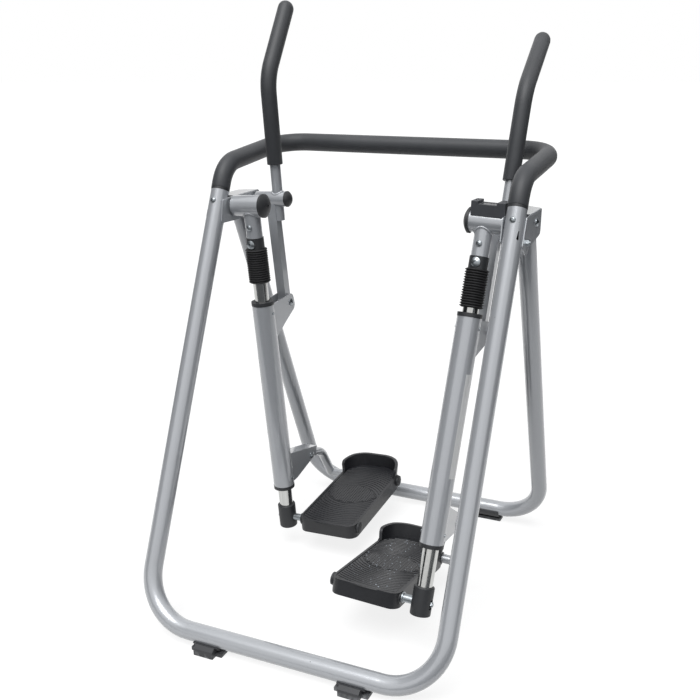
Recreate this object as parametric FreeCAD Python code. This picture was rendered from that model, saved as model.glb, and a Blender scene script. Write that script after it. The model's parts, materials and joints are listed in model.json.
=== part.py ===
import FreeCAD, Part
import math
import os
from FreeCAD import Vector

# Outdoor air walker: a folding A-frame trainer with two swinging legs.
# Millimetres. X points to the user's right, Y to the front (where the toes point), Z up.
# The origin is on the floor, in the middle of the footprint.
# Each leg works in one plane that leans a little: the pivots sit higher at their inner ends.

# Driving dimensions of the two frames
TUBE_OD = 43.0
TUBE_WALL = 2.5
HALF_WIDTH = 367.0
FRONT_HALF_WIDTH = 360.0
BASE_HALF = 423.5
FLOOR_GAP = 13.0
UPRIGHT_TOP = (8.9, 963.9)
FOLD_PIVOT = (79.0, 927.0)
CORNER_R = 125.0

# Driving dimensions of the swinging legs
LEAN = 2.3
PLANE_X = 293.0
LEG_PIVOT = (24.5, 930.5)
LEVER_AHEAD = 103.0
LEVER_ABOVE = 3.0
LINK_LENGTH = 265.0
LEG_REST = {"left": 2.6, "right": -18.8}
LEVER_LEAD = 1.15
LEVER_PER_RADIAN = 0.989
SLIDE_PER_RADIAN = 99.0
SLIDE_MID = 491.0
HEEL_DOWN = 845.0

# Cross sections
TUBE_R = TUBE_OD / 2
TUBE_BORE = TUBE_R - TUBE_WALL
BAR_R = 18.9
BAR_BORE = 16.9
FOAM_R = 22.0
PLATE = 2.5
CHEEK_IN = TUBE_R + 0.6
HOUSING_R = 24.5
LEVER_HOUSING_R = 18.5
AXLE_R = 12.0
LEVER_AXLE_R = 9.0
FIT = 0.05
STUB_R = 19.5
ROD_R = 18.0
ROD_WALL = 2.5
SLIDE_R = 27.2
SLIDE_BORE = 24.7
SLIDE_LENGTH = 502.0
COLLAR = 9.0
EAR_IN = 17.0
PIN_R = 6.0
SHAFT_R = 9.5

# Heights along the leg, measured down from its pivot
SLEEVE_TOP = 76.0
BOOT_TOP = 103.0
BOOT_END = 187.0
BOOT_RIBS = 15
SHOE_TOP = 807.0
SHOE_END = 873.0

# The pins of the upper and lower brackets on the slide tube, measured from its middle
UPPER_PIN = LINK_LENGTH - LEVER_ABOVE - SLIDE_MID
LOWER_PIN = (127.0, 222.0)

# Pedal, in its own frame: from the heel shaft towards the toe shaft
PEDAL_REACH = 264.0
PEDAL_LEVEL = 2.41
PEDAL_PER_RADIAN = -0.3465
TOE_LINK_LENGTH = 181.5
TOE_LINK_DROP = 41.8
TOE_LINK_PER_RADIAN = 0.0326
PEDAL_OUTER = 47.5
PEDAL_WIDTH = 168.0
PEDAL_HEEL = 28.0
PEDAL_TOE = 50.0
PEDAL_TOP = 15.0
PEDAL_DEPTH = 38.0
PEDAL_WALL = 5.0
PEDAL_FLOOR = 6.0
PEDAL_RIM = 6.0
PEDAL_SINK = 1.5
PEDAL_BOSS_R = 17.0
HEEL_CORNER_R = 24.0
TOE_CORNER_R = 62.0

SIDES = {"left": -1, "right": 1}
nodes = {}


def vec(x, y, z):
    return Vector(x, y, z)


def rod(radius, start, end):
    return Part.makeCylinder(radius, (end - start).Length, start, end - start)


def pipe(outer, inner, start, end):
    return rod(outer, start, end).cut(rod(inner, start, end))


def box(x0, x1, y0, y1, z0, z1):
    return Part.makeBox(x1 - x0, y1 - y0, z1 - z0, vec(x0, y0, z0))


def across(radius, y, z, x0, x1):
    """A round bar along X between x0 and x1."""
    return rod(radius, vec(x0, y, z), vec(x1, y, z))


def bent_wire(points, radii):
    """A wire through the points, with an arc of the given radius at each inner point."""
    edges = []
    last = points[0]
    for before, corner, after, radius in zip(points, points[1:], points[2:], radii):
        back = (before - corner).normalize()
        ahead = (after - corner).normalize()
        half = back.getAngle(ahead) / 2
        reach = radius / math.tan(half)
        start = corner + back * reach
        end = corner + ahead * reach
        bisector = (back + ahead).normalize()
        middle = corner + bisector * (radius / math.sin(half) - radius)
        edges.append(Part.makeLine(last, start))
        edges.append(Part.Arc(start, middle, end).toShape())
        last = end
    edges.append(Part.makeLine(last, points[-1]))
    return Part.Wire(edges)


def swept(points, radii, radius):
    path = bent_wire(points, radii)
    ring = Part.Wire(Part.makeCircle(radius, points[0], points[1] - points[0]))
    return path.makePipeShell([ring], True, False)


def bent_tube(points, radii, outer, inner):
    return swept(points, radii, outer).cut(swept(points, radii, inner))


def rounded_face(corners):
    """A flat face in the YZ plane from (y, z, corner radius) corners."""
    count = len(corners)
    edges = []
    starts = []
    ends = []
    middles = []
    for i in range(count):
        here = vec(0, corners[i][0], corners[i][1])
        before = vec(0, corners[i - 1][0], corners[i - 1][1])
        after = vec(0, corners[(i + 1) % count][0], corners[(i + 1) % count][1])
        radius = corners[i][2]
        if radius == 0:
            starts.append(here)
            ends.append(here)
            middles.append(None)
            continue
        back = (before - here).normalize()
        ahead = (after - here).normalize()
        half = back.getAngle(ahead) / 2
        reach = radius / math.tan(half)
        starts.append(here + back * reach)
        ends.append(here + ahead * reach)
        bisector = (back + ahead).normalize()
        middles.append(here + bisector * (radius / math.sin(half) - radius))
    for i in range(count):
        if middles[i] is not None:
            edges.append(Part.Arc(starts[i], middles[i], ends[i]).toShape())
        following = starts[(i + 1) % count]
        if (following - ends[i]).Length > 1e-6:
            edges.append(Part.makeLine(ends[i], following))
    return Part.Face(Part.Wire(edges))


def plate(corners, x0, x1):
    face = rounded_face(corners)
    face.translate(vec(x0, 0, 0))
    return face.extrude(vec(x1 - x0, 0, 0))


def fused(pieces):
    whole = pieces[0]
    for piece in pieces[1:]:
        whole = whole.fuse(piece)
    return whole.removeSplitter()


def group(pieces):
    return Part.makeCompound(pieces)


def mirrored(shape):
    return shape.mirror(vec(0, 0, 0), vec(1, 0, 0))


RIM_SHARE = 0.45
KEY_SHARE = 0.3


def button_bolt(radius, head_r, head_h, y, z, x_head, x_end):
    """A button-head bolt along X: its head is outside x_head, on the side away from x_end."""
    away = 1 if x_head > x_end else -1
    shank = across(radius, y, z, x_end, x_head)
    rim = x_head + away * head_h * RIM_SHARE
    top = x_head + away * head_h
    head = across(head_r, y, z, x_head, rim)
    crown_h = head_h * (1 - RIM_SHARE)
    crown_r = (head_r ** 2 + crown_h ** 2) / (2 * crown_h)
    ball = Part.makeSphere(crown_r, vec(top - away * crown_r, y, z))
    crown = across(head_r, y, z, rim, top).common(ball)
    key = across(head_r * KEY_SHARE, y, z, rim, top + away)
    return fused([shank, head, crown]).cut(key)


def nut(across_flats, height, bore, y, z, x0, away):
    corner = across_flats / math.sqrt(3)
    angles = [math.radians(60 * i) for i in range(7)]
    points = [vec(x0, y + corner * math.cos(a), z + corner * math.sin(a)) for a in angles]
    body = Part.Face(Part.makePolygon(points)).extrude(vec(away * height, 0, 0))
    return body.cut(across(bore, y, z, x0, x0 + away * height))


# Main frame tube: bottom tube at the entry side, two uprights with a drain slot each
def main_frame_tube():
    low = TUBE_R + FLOOR_GAP
    points = [
        vec(-HALF_WIDTH, UPRIGHT_TOP[0], UPRIGHT_TOP[1]),
        vec(-HALF_WIDTH, -BASE_HALF, low),
        vec(HALF_WIDTH, -BASE_HALF, low),
        vec(HALF_WIDTH, UPRIGHT_TOP[0], UPRIGHT_TOP[1]),
    ]
    return bent_tube(points, [CORNER_R, CORNER_R], TUBE_R, TUBE_BORE)


UPRIGHT_RUN = vec(0, UPRIGHT_TOP[0] + BASE_HALF, UPRIGHT_TOP[1] - TUBE_R - FLOOR_GAP).normalize()


def on_upright(distance_below_top):
    top = vec(0, UPRIGHT_TOP[0], UPRIGHT_TOP[1])
    return top - UPRIGHT_RUN * distance_below_top


# Handlebar: both ends plug into the uprights, then it runs forward and across
BAR_RISE = 66.0
BAR_DEPTH = 48.0
BAR_FRONT = (312.5, 1056.0)
BAR_BEND_R = 76.0
BAR_CORNER_R = 78.0
RING_LENGTH = 6.0


def bar_points(start_below):
    start = on_upright(start_below)
    knee = on_upright(-BAR_RISE)
    front = vec(0, BAR_FRONT[0], BAR_FRONT[1])
    left = [vec(-HALF_WIDTH, p.y, p.z) for p in (start, knee, front)]
    right = [vec(HALF_WIDTH, p.y, p.z) for p in (front, knee, start)]
    return left + right


BAR_RADII = [BAR_BEND_R, BAR_CORNER_R, BAR_CORNER_R, BAR_BEND_R]


def handlebar_tube():
    return bent_tube(bar_points(BAR_DEPTH), BAR_RADII, BAR_R, BAR_BORE)


def handlebar_foam():
    return bent_tube(bar_points(-RING_LENGTH), BAR_RADII, FOAM_R, BAR_R)


def handlebar_rings():
    rings = []
    for sign in (-1, 1):
        low = on_upright(0) + vec(sign * HALF_WIDTH, 0, 0)
        high = on_upright(-RING_LENGTH) + vec(sign * HALF_WIDTH, 0, 0)
        rings.append(pipe(TUBE_R + 0.3, BAR_R, low, high))
    return group(rings)


# A bolt runs from the rear of each upright into the handlebar's plugged end
HANDLEBAR_BOLT_BELOW = 29.0
HANDLEBAR_BOLT_HEAD = 6.5
HANDLEBAR_BOLT_RIM = 2.0
HANDLEBAR_BOLT_TOP = 4.6
HANDLEBAR_BOLT_BALL = 9.0
SEAT_DEPTH = 0.4
BOLT_R = 4.0


def handlebar_bolt(sign):
    centre = on_upright(HANDLEBAR_BOLT_BELOW) + vec(sign * HALF_WIDTH, 0, 0)
    out = vec(0, -UPRIGHT_RUN.z, UPRIGHT_RUN.y)
    seat = centre + out * (TUBE_R - SEAT_DEPTH)
    rim = seat + out * HANDLEBAR_BOLT_RIM
    top = seat + out * HANDLEBAR_BOLT_TOP
    shank = rod(BOLT_R, centre, seat)
    head = rod(HANDLEBAR_BOLT_HEAD, seat, rim)
    ball = Part.makeSphere(HANDLEBAR_BOLT_BALL, top - out * HANDLEBAR_BOLT_BALL)
    crown = rod(HANDLEBAR_BOLT_HEAD, rim, top).common(ball)
    key = rod(HANDLEBAR_BOLT_HEAD / 3, rim, top + out)
    return fused([shank, head, crown]).cut(key)


# Fold brackets: a channel whose web covers the front leg's top. Its inner cheek reaches
# further forward, to carry the lever axle
WEB_REAR = (31.0, 951.0)
WEB_FRONT_OUTER = 120.0
WEB_FRONT_INNER = 142.0
WEB_SLOPE = math.radians(1.0)
BRACKET_BOLT = (4.0, 895.5)
BEND_R = 4.0
FOLD_BOLT_R = 5.0
STOP_PIN_R = 4.0
STOP_PIN_UP = 11.0
FRONT_LEG_END_R = 20.0
END_TRIM = 6.0


def web_height(y):
    return WEB_REAR[1] + (y - WEB_REAR[0]) * math.tan(WEB_SLOPE)


def bend_round(sign):
    """What the bend takes off the outside corner between the web and one cheek."""
    side = CHEEK_IN + PLATE
    rear, height = WEB_REAR
    corner = box(side - BEND_R, side + 1, rear - 70, rear + 150, height - BEND_R, height + 1)
    start = vec(side - BEND_R, rear - 70, height - BEND_R)
    tool = corner.cut(rod(BEND_R, start, start + vec(0, 220, 0)))
    if sign < 0:
        tool = mirrored(tool)
    tool.rotate(vec(0, rear, height), vec(1, 0, 0), math.degrees(WEB_SLOPE))
    return tool


def fold_bracket(sign):
    outer_cheek = [
        (0, 948, 5), (WEB_REAR[0], WEB_REAR[1], 0), (WEB_FRONT_OUTER, web_height(WEB_FRONT_OUTER), 0),
        (116, 896.5, 12), (80, 890, 4), (24, 884, 3), (17, 872, 3), (-4, 871, 6), (-27, 890, 8),
    ]
    inner_cheek = [
        (-18, 948, 6), (WEB_REAR[0], WEB_REAR[1], 0), (WEB_FRONT_INNER, web_height(WEB_FRONT_INNER), 0),
        (149, 926, 18), (128, 906, 16), (33, 893, 6), (-30, 894, 6),
    ]
    inner = plate(inner_cheek, -CHEEK_IN - PLATE, -CHEEK_IN)
    outer = plate(outer_cheek, CHEEK_IN, CHEEK_IN + PLATE)
    rear, height = WEB_REAR
    outline = [
        vec(-CHEEK_IN, rear, height), vec(-CHEEK_IN, WEB_FRONT_INNER, height),
        vec(CHEEK_IN, WEB_FRONT_OUTER, height), vec(CHEEK_IN, rear, height),
    ]
    top = Part.Face(Part.makePolygon(outline + outline[:1])).extrude(vec(0, 0, -PLATE))
    top.rotate(vec(0, rear, height), vec(1, 0, 0), math.degrees(WEB_SLOPE))
    upright = rod(TUBE_R, on_upright(200), on_upright(-80))
    channel = fused([inner, outer, top.cut(upright)])
    channel = channel.cut(bend_round(1)).cut(bend_round(-1))
    channel = channel.cut(across(FOLD_BOLT_R, FOLD_PIVOT[0], FOLD_PIVOT[1], -40, 40))
    channel = channel.cut(across(BOLT_R, BRACKET_BOLT[0], BRACKET_BOLT[1], 0, 40))
    stop = stop_pin_place()
    channel = channel.cut(across(STOP_PIN_R, stop[0], stop[1], -40, 40))
    if sign < 0:
        channel = mirrored(channel)
    channel.translate(vec(sign * HALF_WIDTH, 0, 0))
    return channel


def front_leg_down():
    """Unit direction of the front leg, down from the fold pivot."""
    low = TUBE_R + FLOOR_GAP
    return vec(0, BASE_HALF - FOLD_PIVOT[0], low - FOLD_PIVOT[1]).normalize()


def stop_pin_place():
    down = front_leg_down()
    behind = vec(0, down.z, -down.y)
    above = vec(0, FOLD_PIVOT[0], FOLD_PIVOT[1]) - down * STOP_PIN_UP
    centre = above + behind * (TUBE_R + STOP_PIN_R + 0.4)
    return centre.y, centre.z


# Front frame tube: second bent U, rounded at its tops about the fold pivots
def front_frame_tube():
    low = TUBE_R + FLOOR_GAP
    pivot = vec(0, FOLD_PIVOT[0], FOLD_PIVOT[1])
    top = pivot - front_leg_down() * TUBE_R
    points = [
        vec(-HALF_WIDTH, top.y, top.z),
        vec(-FRONT_HALF_WIDTH, BASE_HALF, low),
        vec(FRONT_HALF_WIDTH, BASE_HALF, low),
        vec(HALF_WIDTH, top.y, top.z),
    ]
    tube = bent_tube(points, [CORNER_R, CORNER_R], TUBE_R, TUBE_BORE)
    above = top - front_leg_down() * END_TRIM
    for sign in (-1, 1):
        near = sign * HALF_WIDTH
        block = rod(TUBE_R + 5, vec(near, above.y, above.z), vec(near, pivot.y, pivot.z))
        round_end = across(FRONT_LEG_END_R, pivot.y, pivot.z, near - 40, near + 40)
        tube = tube.cut(block.cut(round_end))
        tube = tube.cut(across(FOLD_BOLT_R + FIT, pivot.y, pivot.z, near - 40, near + 40))
    return tube


# Feet: a saddle under the bottom tube with a block that points away from the machine
FOOT_LENGTH = 80.0
FOOT_WALL = 4.5
FOOT_BASE = 9.0
FOOT_RIM_ABOVE = 12.0
FOOT_LIP_BELOW = 9.0
FOOT_BLOCK_HALF = 25.0
FOOT_BLOCK_TOP = 25.0
FOOT_BLOCK_START = 8.0
FOOT_REACH = 34.0
FOOT_BEVEL = 9.0
MAIN_FOOT_BASE = (20.0, 8.0)
FRONT_FOOT_BASE = (14.0, 5.0)
MAIN_FEET_X = (-184.0, 178.0)
FRONT_FEET_X = (-205.0, 205.0)


def foot(x, side_of_y, base_size):
    """One foot; its base has a half width, and ends that reach past the saddle by a step."""
    base_half, end_step = base_size
    low = TUBE_R + FLOOR_GAP
    half = FOOT_LENGTH / 2
    along = vec(1, 0, 0)
    wrap_r = TUBE_R + FOOT_WALL
    wrap_length = FOOT_LENGTH - 2 * end_step
    wrap = Part.makeCylinder(wrap_r, wrap_length, vec(-wrap_length / 2, 0, low), along)
    saddle = wrap.common(box(-half, half, -wrap_r, FOOT_RIM_ABOVE, 0, low))
    lip = wrap.common(box(-half, half, FOOT_RIM_ABOVE, wrap_r, 0, low - FOOT_LIP_BELOW))
    block = box(-FOOT_BLOCK_HALF, FOOT_BLOCK_HALF, FOOT_BLOCK_START, FOOT_REACH, 0, FOOT_BLOCK_TOP)
    over, out = FOOT_BLOCK_TOP + 1, FOOT_REACH + 1
    bevel = [(out - FOOT_BEVEL - 5, over, 0), (out, over, 0), (out, over - FOOT_BEVEL, 0)]
    block = block.cut(plate(bevel, -half, half))
    base = box(-half, half, -base_half, base_half, 0, FOOT_BASE)
    body = fused([saddle, lip, block, base])
    body = body.cut(Part.makeCylinder(TUBE_R, 2 * FOOT_LENGTH, vec(-FOOT_LENGTH, 0, low), along))
    if side_of_y < 0:
        body = body.mirror(vec(0, 0, 0), vec(0, 1, 0))
    body.translate(vec(x, side_of_y * BASE_HALF, 0))
    return body


# Placing in the leaning plane of one side: leg shapes are drawn hanging straight down,
# for the right-hand side, with the origin on the leg pivot and +X pointing outward
def placed(shape, side, swing, pivot=(0.0, 0.0)):
    """Swing about a point of the leg plane, lean the plane and move it to its side."""
    sign = SIDES[side]
    shape = shape.copy()
    if sign < 0:
        shape = mirrored(shape)
    shape.rotate(vec(0, pivot[0], pivot[1]), vec(1, 0, 0), swing)
    shape.rotate(vec(0, 0, 0), vec(0, 1, 0), sign * LEAN)
    shape.translate(vec(sign * PLANE_X, LEG_PIVOT[0], LEG_PIVOT[1]))
    return shape


# Leg pivot: cross tube on a fixed axle, with the stub that holds the rod
HOUSING_OUT = 44.0
HOUSING_IN = -34.0
BUSH_LENGTH = 16.0
HOUSING_WALL = 4.0
COLLAR_STEP = 5.0
AXLE_END = 60.0
END_GAP = 0.5


def leg_axle():
    shaft = across(AXLE_R, 0, 0, HOUSING_IN - 2, AXLE_END)
    collar = across(AXLE_R + COLLAR_STEP, 0, 0, HOUSING_OUT + END_GAP, AXLE_END)
    return fused([shaft, collar])


def inner_cheek_trim(side, shape):
    """Cut a placed axle off at the inner face of its bracket's cheek."""
    face = HALF_WIDTH - CHEEK_IN - PLATE
    sign = SIDES[side]
    beyond = box(face, face + 80, -100, 300, 800, 1060)
    if sign < 0:
        beyond = mirrored(beyond)
    return shape.cut(beyond)


STUB_HEAD_R = 6.8
STUB_SEAT = STUB_R - 0.6


def leg_pivot_housing():
    cross = across(HOUSING_R, 0, 0, HOUSING_IN, HOUSING_OUT)
    stub = rod(STUB_R, vec(0, 0, 0), vec(0, 0, -SLEEVE_TOP))
    body = fused([cross, stub])
    body = body.cut(across(HOUSING_R - HOUSING_WALL, 0, 0, HOUSING_IN, HOUSING_OUT))
    body = body.cut(rod(ROD_R, vec(0, 0, -HOUSING_R + 2), vec(0, 0, -SLEEVE_TOP)))
    body = body.cut(rearward(BOLT_R, STUB_BOLT_DOWN, 0))
    return body.cut(rearward(STUB_HEAD_R, STUB_BOLT_DOWN, STUB_SEAT))


def rearward(radius, down, start):
    """The hole of a leg bolt, or the seat of its head, out of the leg's rear side."""
    return rod(radius, vec(0, -start, -down), vec(0, -40, -down))


def bushes(outer, inner, x0, x1):
    return group([
        pipe(outer, inner, vec(x0, 0, 0), vec(x0 + BUSH_LENGTH, 0, 0)),
        pipe(outer, inner, vec(x1 - BUSH_LENGTH, 0, 0), vec(x1, 0, 0)),
    ])


CAP_SIDE = 3.0


def dome_cap(radius, seat, rim, height, hole):
    """A black cap over a housing's inner end, domed, with a small hole in its middle."""
    rim_body = across(radius, 0, 0, seat + rim, seat - CAP_SIDE)
    dome = height - CAP_SIDE
    crown_r = (radius ** 2 + dome ** 2) / (2 * dome)
    ball = Part.makeSphere(crown_r, vec(seat - height + crown_r, 0, 0))
    crown = across(radius, 0, 0, seat - CAP_SIDE, seat - height).common(ball)
    body = fused([rim_body, crown])
    return body.cut(across(hole, 0, 0, seat - height - 1, seat - height + 4))


def leg_cap():
    body = dome_cap(HOUSING_R + 3.5, HOUSING_IN, 2.0, 13.5, 3.0)
    body = body.cut(across(HOUSING_R, 0, 0, HOUSING_IN, HOUSING_IN + 5))
    return body.cut(across(HOUSING_R - HOUSING_WALL, 0, 0, HOUSING_IN - 4, HOUSING_IN))


# Leg rod with its bolts, sleeve, ribbed boot, shoe and heel shaft
STUB_BOLT_DOWN = 50.0
SLEEVE_BOLT_DOWN = 90.0
SLEEVE_BOLT_R = 5.0
SLEEVE_R = 21.2
SLEEVE_HEAD_R = 10.5
SLEEVE_SEAT = SLEEVE_R - 1.0
STUB_HEAD_HIGH = 5.0
SLEEVE_HEAD_HIGH = 6.0


def leg_rod():
    body = pipe(ROD_R, ROD_R - ROD_WALL, vec(0, 0, -HOUSING_R - 4), vec(0, 0, -SHOE_END + 6))
    body = body.cut(across(SHAFT_R, 0, -HEEL_DOWN, -40, 40))
    body = body.cut(rearward(BOLT_R, STUB_BOLT_DOWN, 0))
    return body.cut(rearward(SLEEVE_BOLT_R, SLEEVE_BOLT_DOWN, 0))


def boot_sleeve():
    body = pipe(SLEEVE_R, ROD_R, vec(0, 0, -SLEEVE_TOP), vec(0, 0, -BOOT_TOP))
    body = body.cut(rearward(SLEEVE_BOLT_R, SLEEVE_BOLT_DOWN, 0))
    return body.cut(rearward(SLEEVE_HEAD_R, SLEEVE_BOLT_DOWN, SLEEVE_SEAT))


BOOT_CREST = 26.6
BOOT_ROOT = 22.0


def ribbed_boot():
    """Rubber boot: each rib is four circles on the X axis, joined by straight facets."""
    pitch = (BOOT_END - BOOT_TOP) / BOOT_RIBS
    circles = []
    for i in range(BOOT_RIBS):
        start = i * pitch
        for share, radius in ((0.0, BOOT_ROOT), (0.3, BOOT_CREST), (0.6, BOOT_CREST), (0.9, BOOT_ROOT)):
            circles.append((start + share * pitch, radius))
    circles.append((BOOT_RIBS * pitch, BOOT_ROOT))
    wires = [Part.Wire(Part.makeCircle(radius, vec(x, 0, 0), vec(1, 0, 0))) for x, radius in circles]
    body = Part.makeLoft(wires, True, True)
    body = body.cut(rod(ROD_R, vec(-1, 0, 0), vec(BOOT_RIBS * pitch + 1, 0, 0)))
    body.rotate(vec(0, 0, 0), vec(0, 1, 0), 90)
    body.translate(vec(0, 0, -BOOT_TOP))
    return body


def leg_bolts():
    inner_end = -(ROD_R - ROD_WALL)
    stub = button_bolt(BOLT_R, STUB_HEAD_R, STUB_HEAD_HIGH, 0, 0, -STUB_SEAT, inner_end)
    sleeve = button_bolt(SLEEVE_BOLT_R, SLEEVE_HEAD_R, SLEEVE_HEAD_HIGH, 0, 0, -SLEEVE_SEAT, inner_end)
    placed_bolts = []
    for bolt, down in ((stub, STUB_BOLT_DOWN), (sleeve, SLEEVE_BOLT_DOWN)):
        bolt.rotate(vec(0, 0, 0), vec(0, 0, 1), 90)
        bolt.translate(vec(0, 0, -down))
        placed_bolts.append(bolt)
    return group(placed_bolts)


SHOE_R = 23.5
SHOE_EDGE = 3.0
SHOE_FLAT = 5.0
SHOE_FLAT_HALF = (9.5, 11.0)


def rod_shoe():
    body = rod(SHOE_R, vec(0, 0, -SHOE_TOP), vec(0, 0, -SHOE_END))
    body = body.makeFillet(SHOE_EDGE, body.Edges[:1] + body.Edges[2:3])
    body = body.cut(pipe(ROD_R, ROD_R - ROD_WALL, vec(0, 0, -SHOE_TOP), vec(0, 0, -SHOE_END + 6)))
    body = body.cut(rod(ROD_R - ROD_WALL, vec(0, 0, -SHOE_TOP), vec(0, 0, -SHOE_TOP - 8)))
    wide, high = SHOE_FLAT_HALF
    flat = box(SHOE_R - SHOE_FLAT, SHOE_R + 1, -wide, wide, -HEEL_DOWN - high, -HEEL_DOWN + high)
    body = body.cut(flat)
    return body.cut(across(SHAFT_R, 0, -HEEL_DOWN, -40, 40))


# Both pedal shafts run inward across the pedal and end in its inner boss
SHAFT_END = -(PEDAL_OUTER + PEDAL_WIDTH)
HEEL_THREAD_R = 4.0
HEEL_NUT_FLATS = 13.0
HEEL_NUT_HIGH = 6.0


def heel_shaft():
    face = SHOE_R - SHOE_FLAT
    shaft = across(SHAFT_R, 0, -HEEL_DOWN, SHAFT_END, face)
    shoulder = across(SHAFT_R + 3, 0, -HEEL_DOWN, -PEDAL_OUTER + 0.8, -PEDAL_OUTER + 4)
    thread = across(HEEL_THREAD_R, 0, -HEEL_DOWN, face, face + 8)
    return fused([shaft, shoulder, thread])


def heel_nut():
    return nut(HEEL_NUT_FLATS, HEEL_NUT_HIGH, HEEL_THREAD_R, 0, -HEEL_DOWN, SHOE_R - SHOE_FLAT, 1)


# Slide tube, drawn with its middle at the origin; its brackets face forward
RIVET_R = 2.0
RIVET_HEAD_R = 4.0
RIVET_HEAD = 1.2
RIVET_FROM_END = 22.0
RIVET_HEIGHTS = (SLIDE_LENGTH / 2 - RIVET_FROM_END, RIVET_FROM_END - SLIDE_LENGTH / 2)
BUSHING_NECK = 34.0


def slide_tube():
    half = SLIDE_LENGTH / 2
    body = pipe(SLIDE_R, SLIDE_BORE, vec(0, 0, half), vec(0, 0, -half))
    for z in RIVET_HEIGHTS:
        body = body.cut(across(RIVET_R, 0, z, -SLIDE_R - 1, SLIDE_R + 1))
    return body


def slide_bushings():
    half = SLIDE_LENGTH / 2
    pieces = []
    for end in (1, -1):
        neck = pipe(SLIDE_BORE, ROD_R + FIT, vec(0, 0, end * half), vec(0, 0, end * (half - BUSHING_NECK)))
        flange = pipe(SLIDE_R + 0.6, ROD_R + FIT, vec(0, 0, end * half), vec(0, 0, end * (half + COLLAR)))
        pieces.append(fused([neck, flange]))
    return group(pieces)


def slide_rivets():
    pieces = []
    for z in RIVET_HEIGHTS:
        for away in (-1, 1):
            shank = across(RIVET_R, 0, z, away * SLIDE_BORE, away * SLIDE_R)
            head = across(RIVET_HEAD_R, 0, z, away * SLIDE_BORE, away * (SLIDE_R + RIVET_HEAD))
            tube = rod(SLIDE_R, vec(0, 0, z - 2 * RIVET_HEAD_R), vec(0, 0, z + 2 * RIVET_HEAD_R))
            pieces.append(fused([shank, head.cut(tube)]))
    return group(pieces)


def without_slide(shape):
    return shape.cut(rod(SLIDE_R, vec(0, 0, 300), vec(0, 0, -300)))


def upper_bracket():
    """Two ears that rise to the link bolt, joined by a back web against the tube."""
    ear = [(16, 248, 0), (LEVER_AHEAD + 14, 252, 16), (LEVER_AHEAD + 20, 212, 16), (16, 162, 0)]
    ears = [plate(ear, x, x + PLATE) for x in (-EAR_IN - PLATE, EAR_IN)]
    web = [(60, 183, 0), (63, 180, 0), (24, 160, 0), (20, 163, 0)]
    body = fused(ears + [plate(web, -EAR_IN, EAR_IN)])
    body = without_slide(body)
    return body.cut(across(PIN_R, LEVER_AHEAD, -UPPER_PIN, -40, 40))


def lower_bracket():
    """A box with a flat top plate and two sides; the toe link's bolt crosses its front end."""
    side = [(16, -166, 0), (160, -208, 3), (152, -229, 8), (40, -250, 6), (16, -250, 0)]
    top = [(16, -166, 0), (160, -208, 0), (159, -211, 0), (16, -169, 0)]
    sides = [plate(side, x, x + PLATE) for x in (-EAR_IN - PLATE, EAR_IN)]
    body = fused(sides + [plate(top, -EAR_IN, EAR_IN)])
    body = without_slide(body)
    return body.cut(across(PIN_R, LOWER_PIN[0], -LOWER_PIN[1], -40, 40))


BRACKET_HEAD_R = 9.0
BRACKET_HEAD_HIGH = 5.0
BRACKET_NUT_FLATS = 17.0
BRACKET_NUT_HIGH = 6.0


def bracket_bolts():
    pieces = []
    face = EAR_IN + PLATE
    for y, z in ((LEVER_AHEAD, -UPPER_PIN), (LOWER_PIN[0], -LOWER_PIN[1])):
        bolt = button_bolt(PIN_R, BRACKET_HEAD_R, BRACKET_HEAD_HIGH, y, z, -face, face + 8)
        bolt_nut = nut(BRACKET_NUT_FLATS, BRACKET_NUT_HIGH, PIN_R, y, z, face, 1)
        pieces.append(fused([bolt, bolt_nut]))
    return group(pieces)


# Lever: housing on its own axle, square link bar down, handle tube up
LEVER_OUT = 44.0
LEVER_IN = -39.0
LINK_BAR = 24.0
LINK_EYE_R = 19.0
LINK_SLOT = 5.8
LINK_SLOT_HIGH = 1.6
LINK_BAR_BACK = 4.0
HANDLE_R = 13.0
HANDLE_WALL = 2.0
HANDLE_X = 14.0
HANDLE_LEAN = 0.6
HANDLE_STUB = 52.0
HANDLE_KNEE = 284.0
HANDLE_BEND = 37.2
HANDLE_REACH = 184.5
HANDLE_BEND_R = 110.0
# how deep each handle sits, and how it leans in and turns in, in degrees
HANDLE_SUNK = {"left": 0.0, "right": 11.0}
HANDLE_INWARD = {"left": 1.6, "right": 0.3}
HANDLE_TWIST = {"left": 0.0, "right": 5.0}
GRIP_R = 19.0
GRIP_START = 84.0


def lever_axle():
    shaft = across(LEVER_AXLE_R, LEVER_AHEAD, LEVER_ABOVE, LEVER_IN - 2, AXLE_END)
    start = LEVER_OUT + END_GAP
    collar = across(LEVER_AXLE_R + COLLAR_STEP, LEVER_AHEAD, LEVER_ABOVE, start, AXLE_END)
    return fused([shaft, collar])


def lever_pivot_housing():
    """Cross tube with the square link bar; the slot at the bar's end leaves the pin some play."""
    cross = across(LEVER_HOUSING_R, 0, 0, LEVER_IN, LEVER_OUT)
    half = LINK_BAR / 2
    bar = box(-half, half, -half - LINK_BAR_BACK, half - LINK_BAR_BACK, -LINK_LENGTH + 6, -8)
    eye = across(LINK_EYE_R, 0, -LINK_LENGTH, -half, half)
    body = fused([cross, bar, eye])
    body = body.cut(across(LEVER_HOUSING_R - HOUSING_WALL, 0, 0, LEVER_IN, LEVER_OUT))
    wide = PIN_R + LINK_SLOT
    high = PIN_R + LINK_SLOT_HIGH
    centre = -LINK_LENGTH
    corner = high - 0.1
    slot = [(-wide, centre + high, corner), (wide, centre + high, corner),
            (wide, centre - high, corner), (-wide, centre - high, corner)]
    return body.cut(plate(slot, -half, half))


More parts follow.
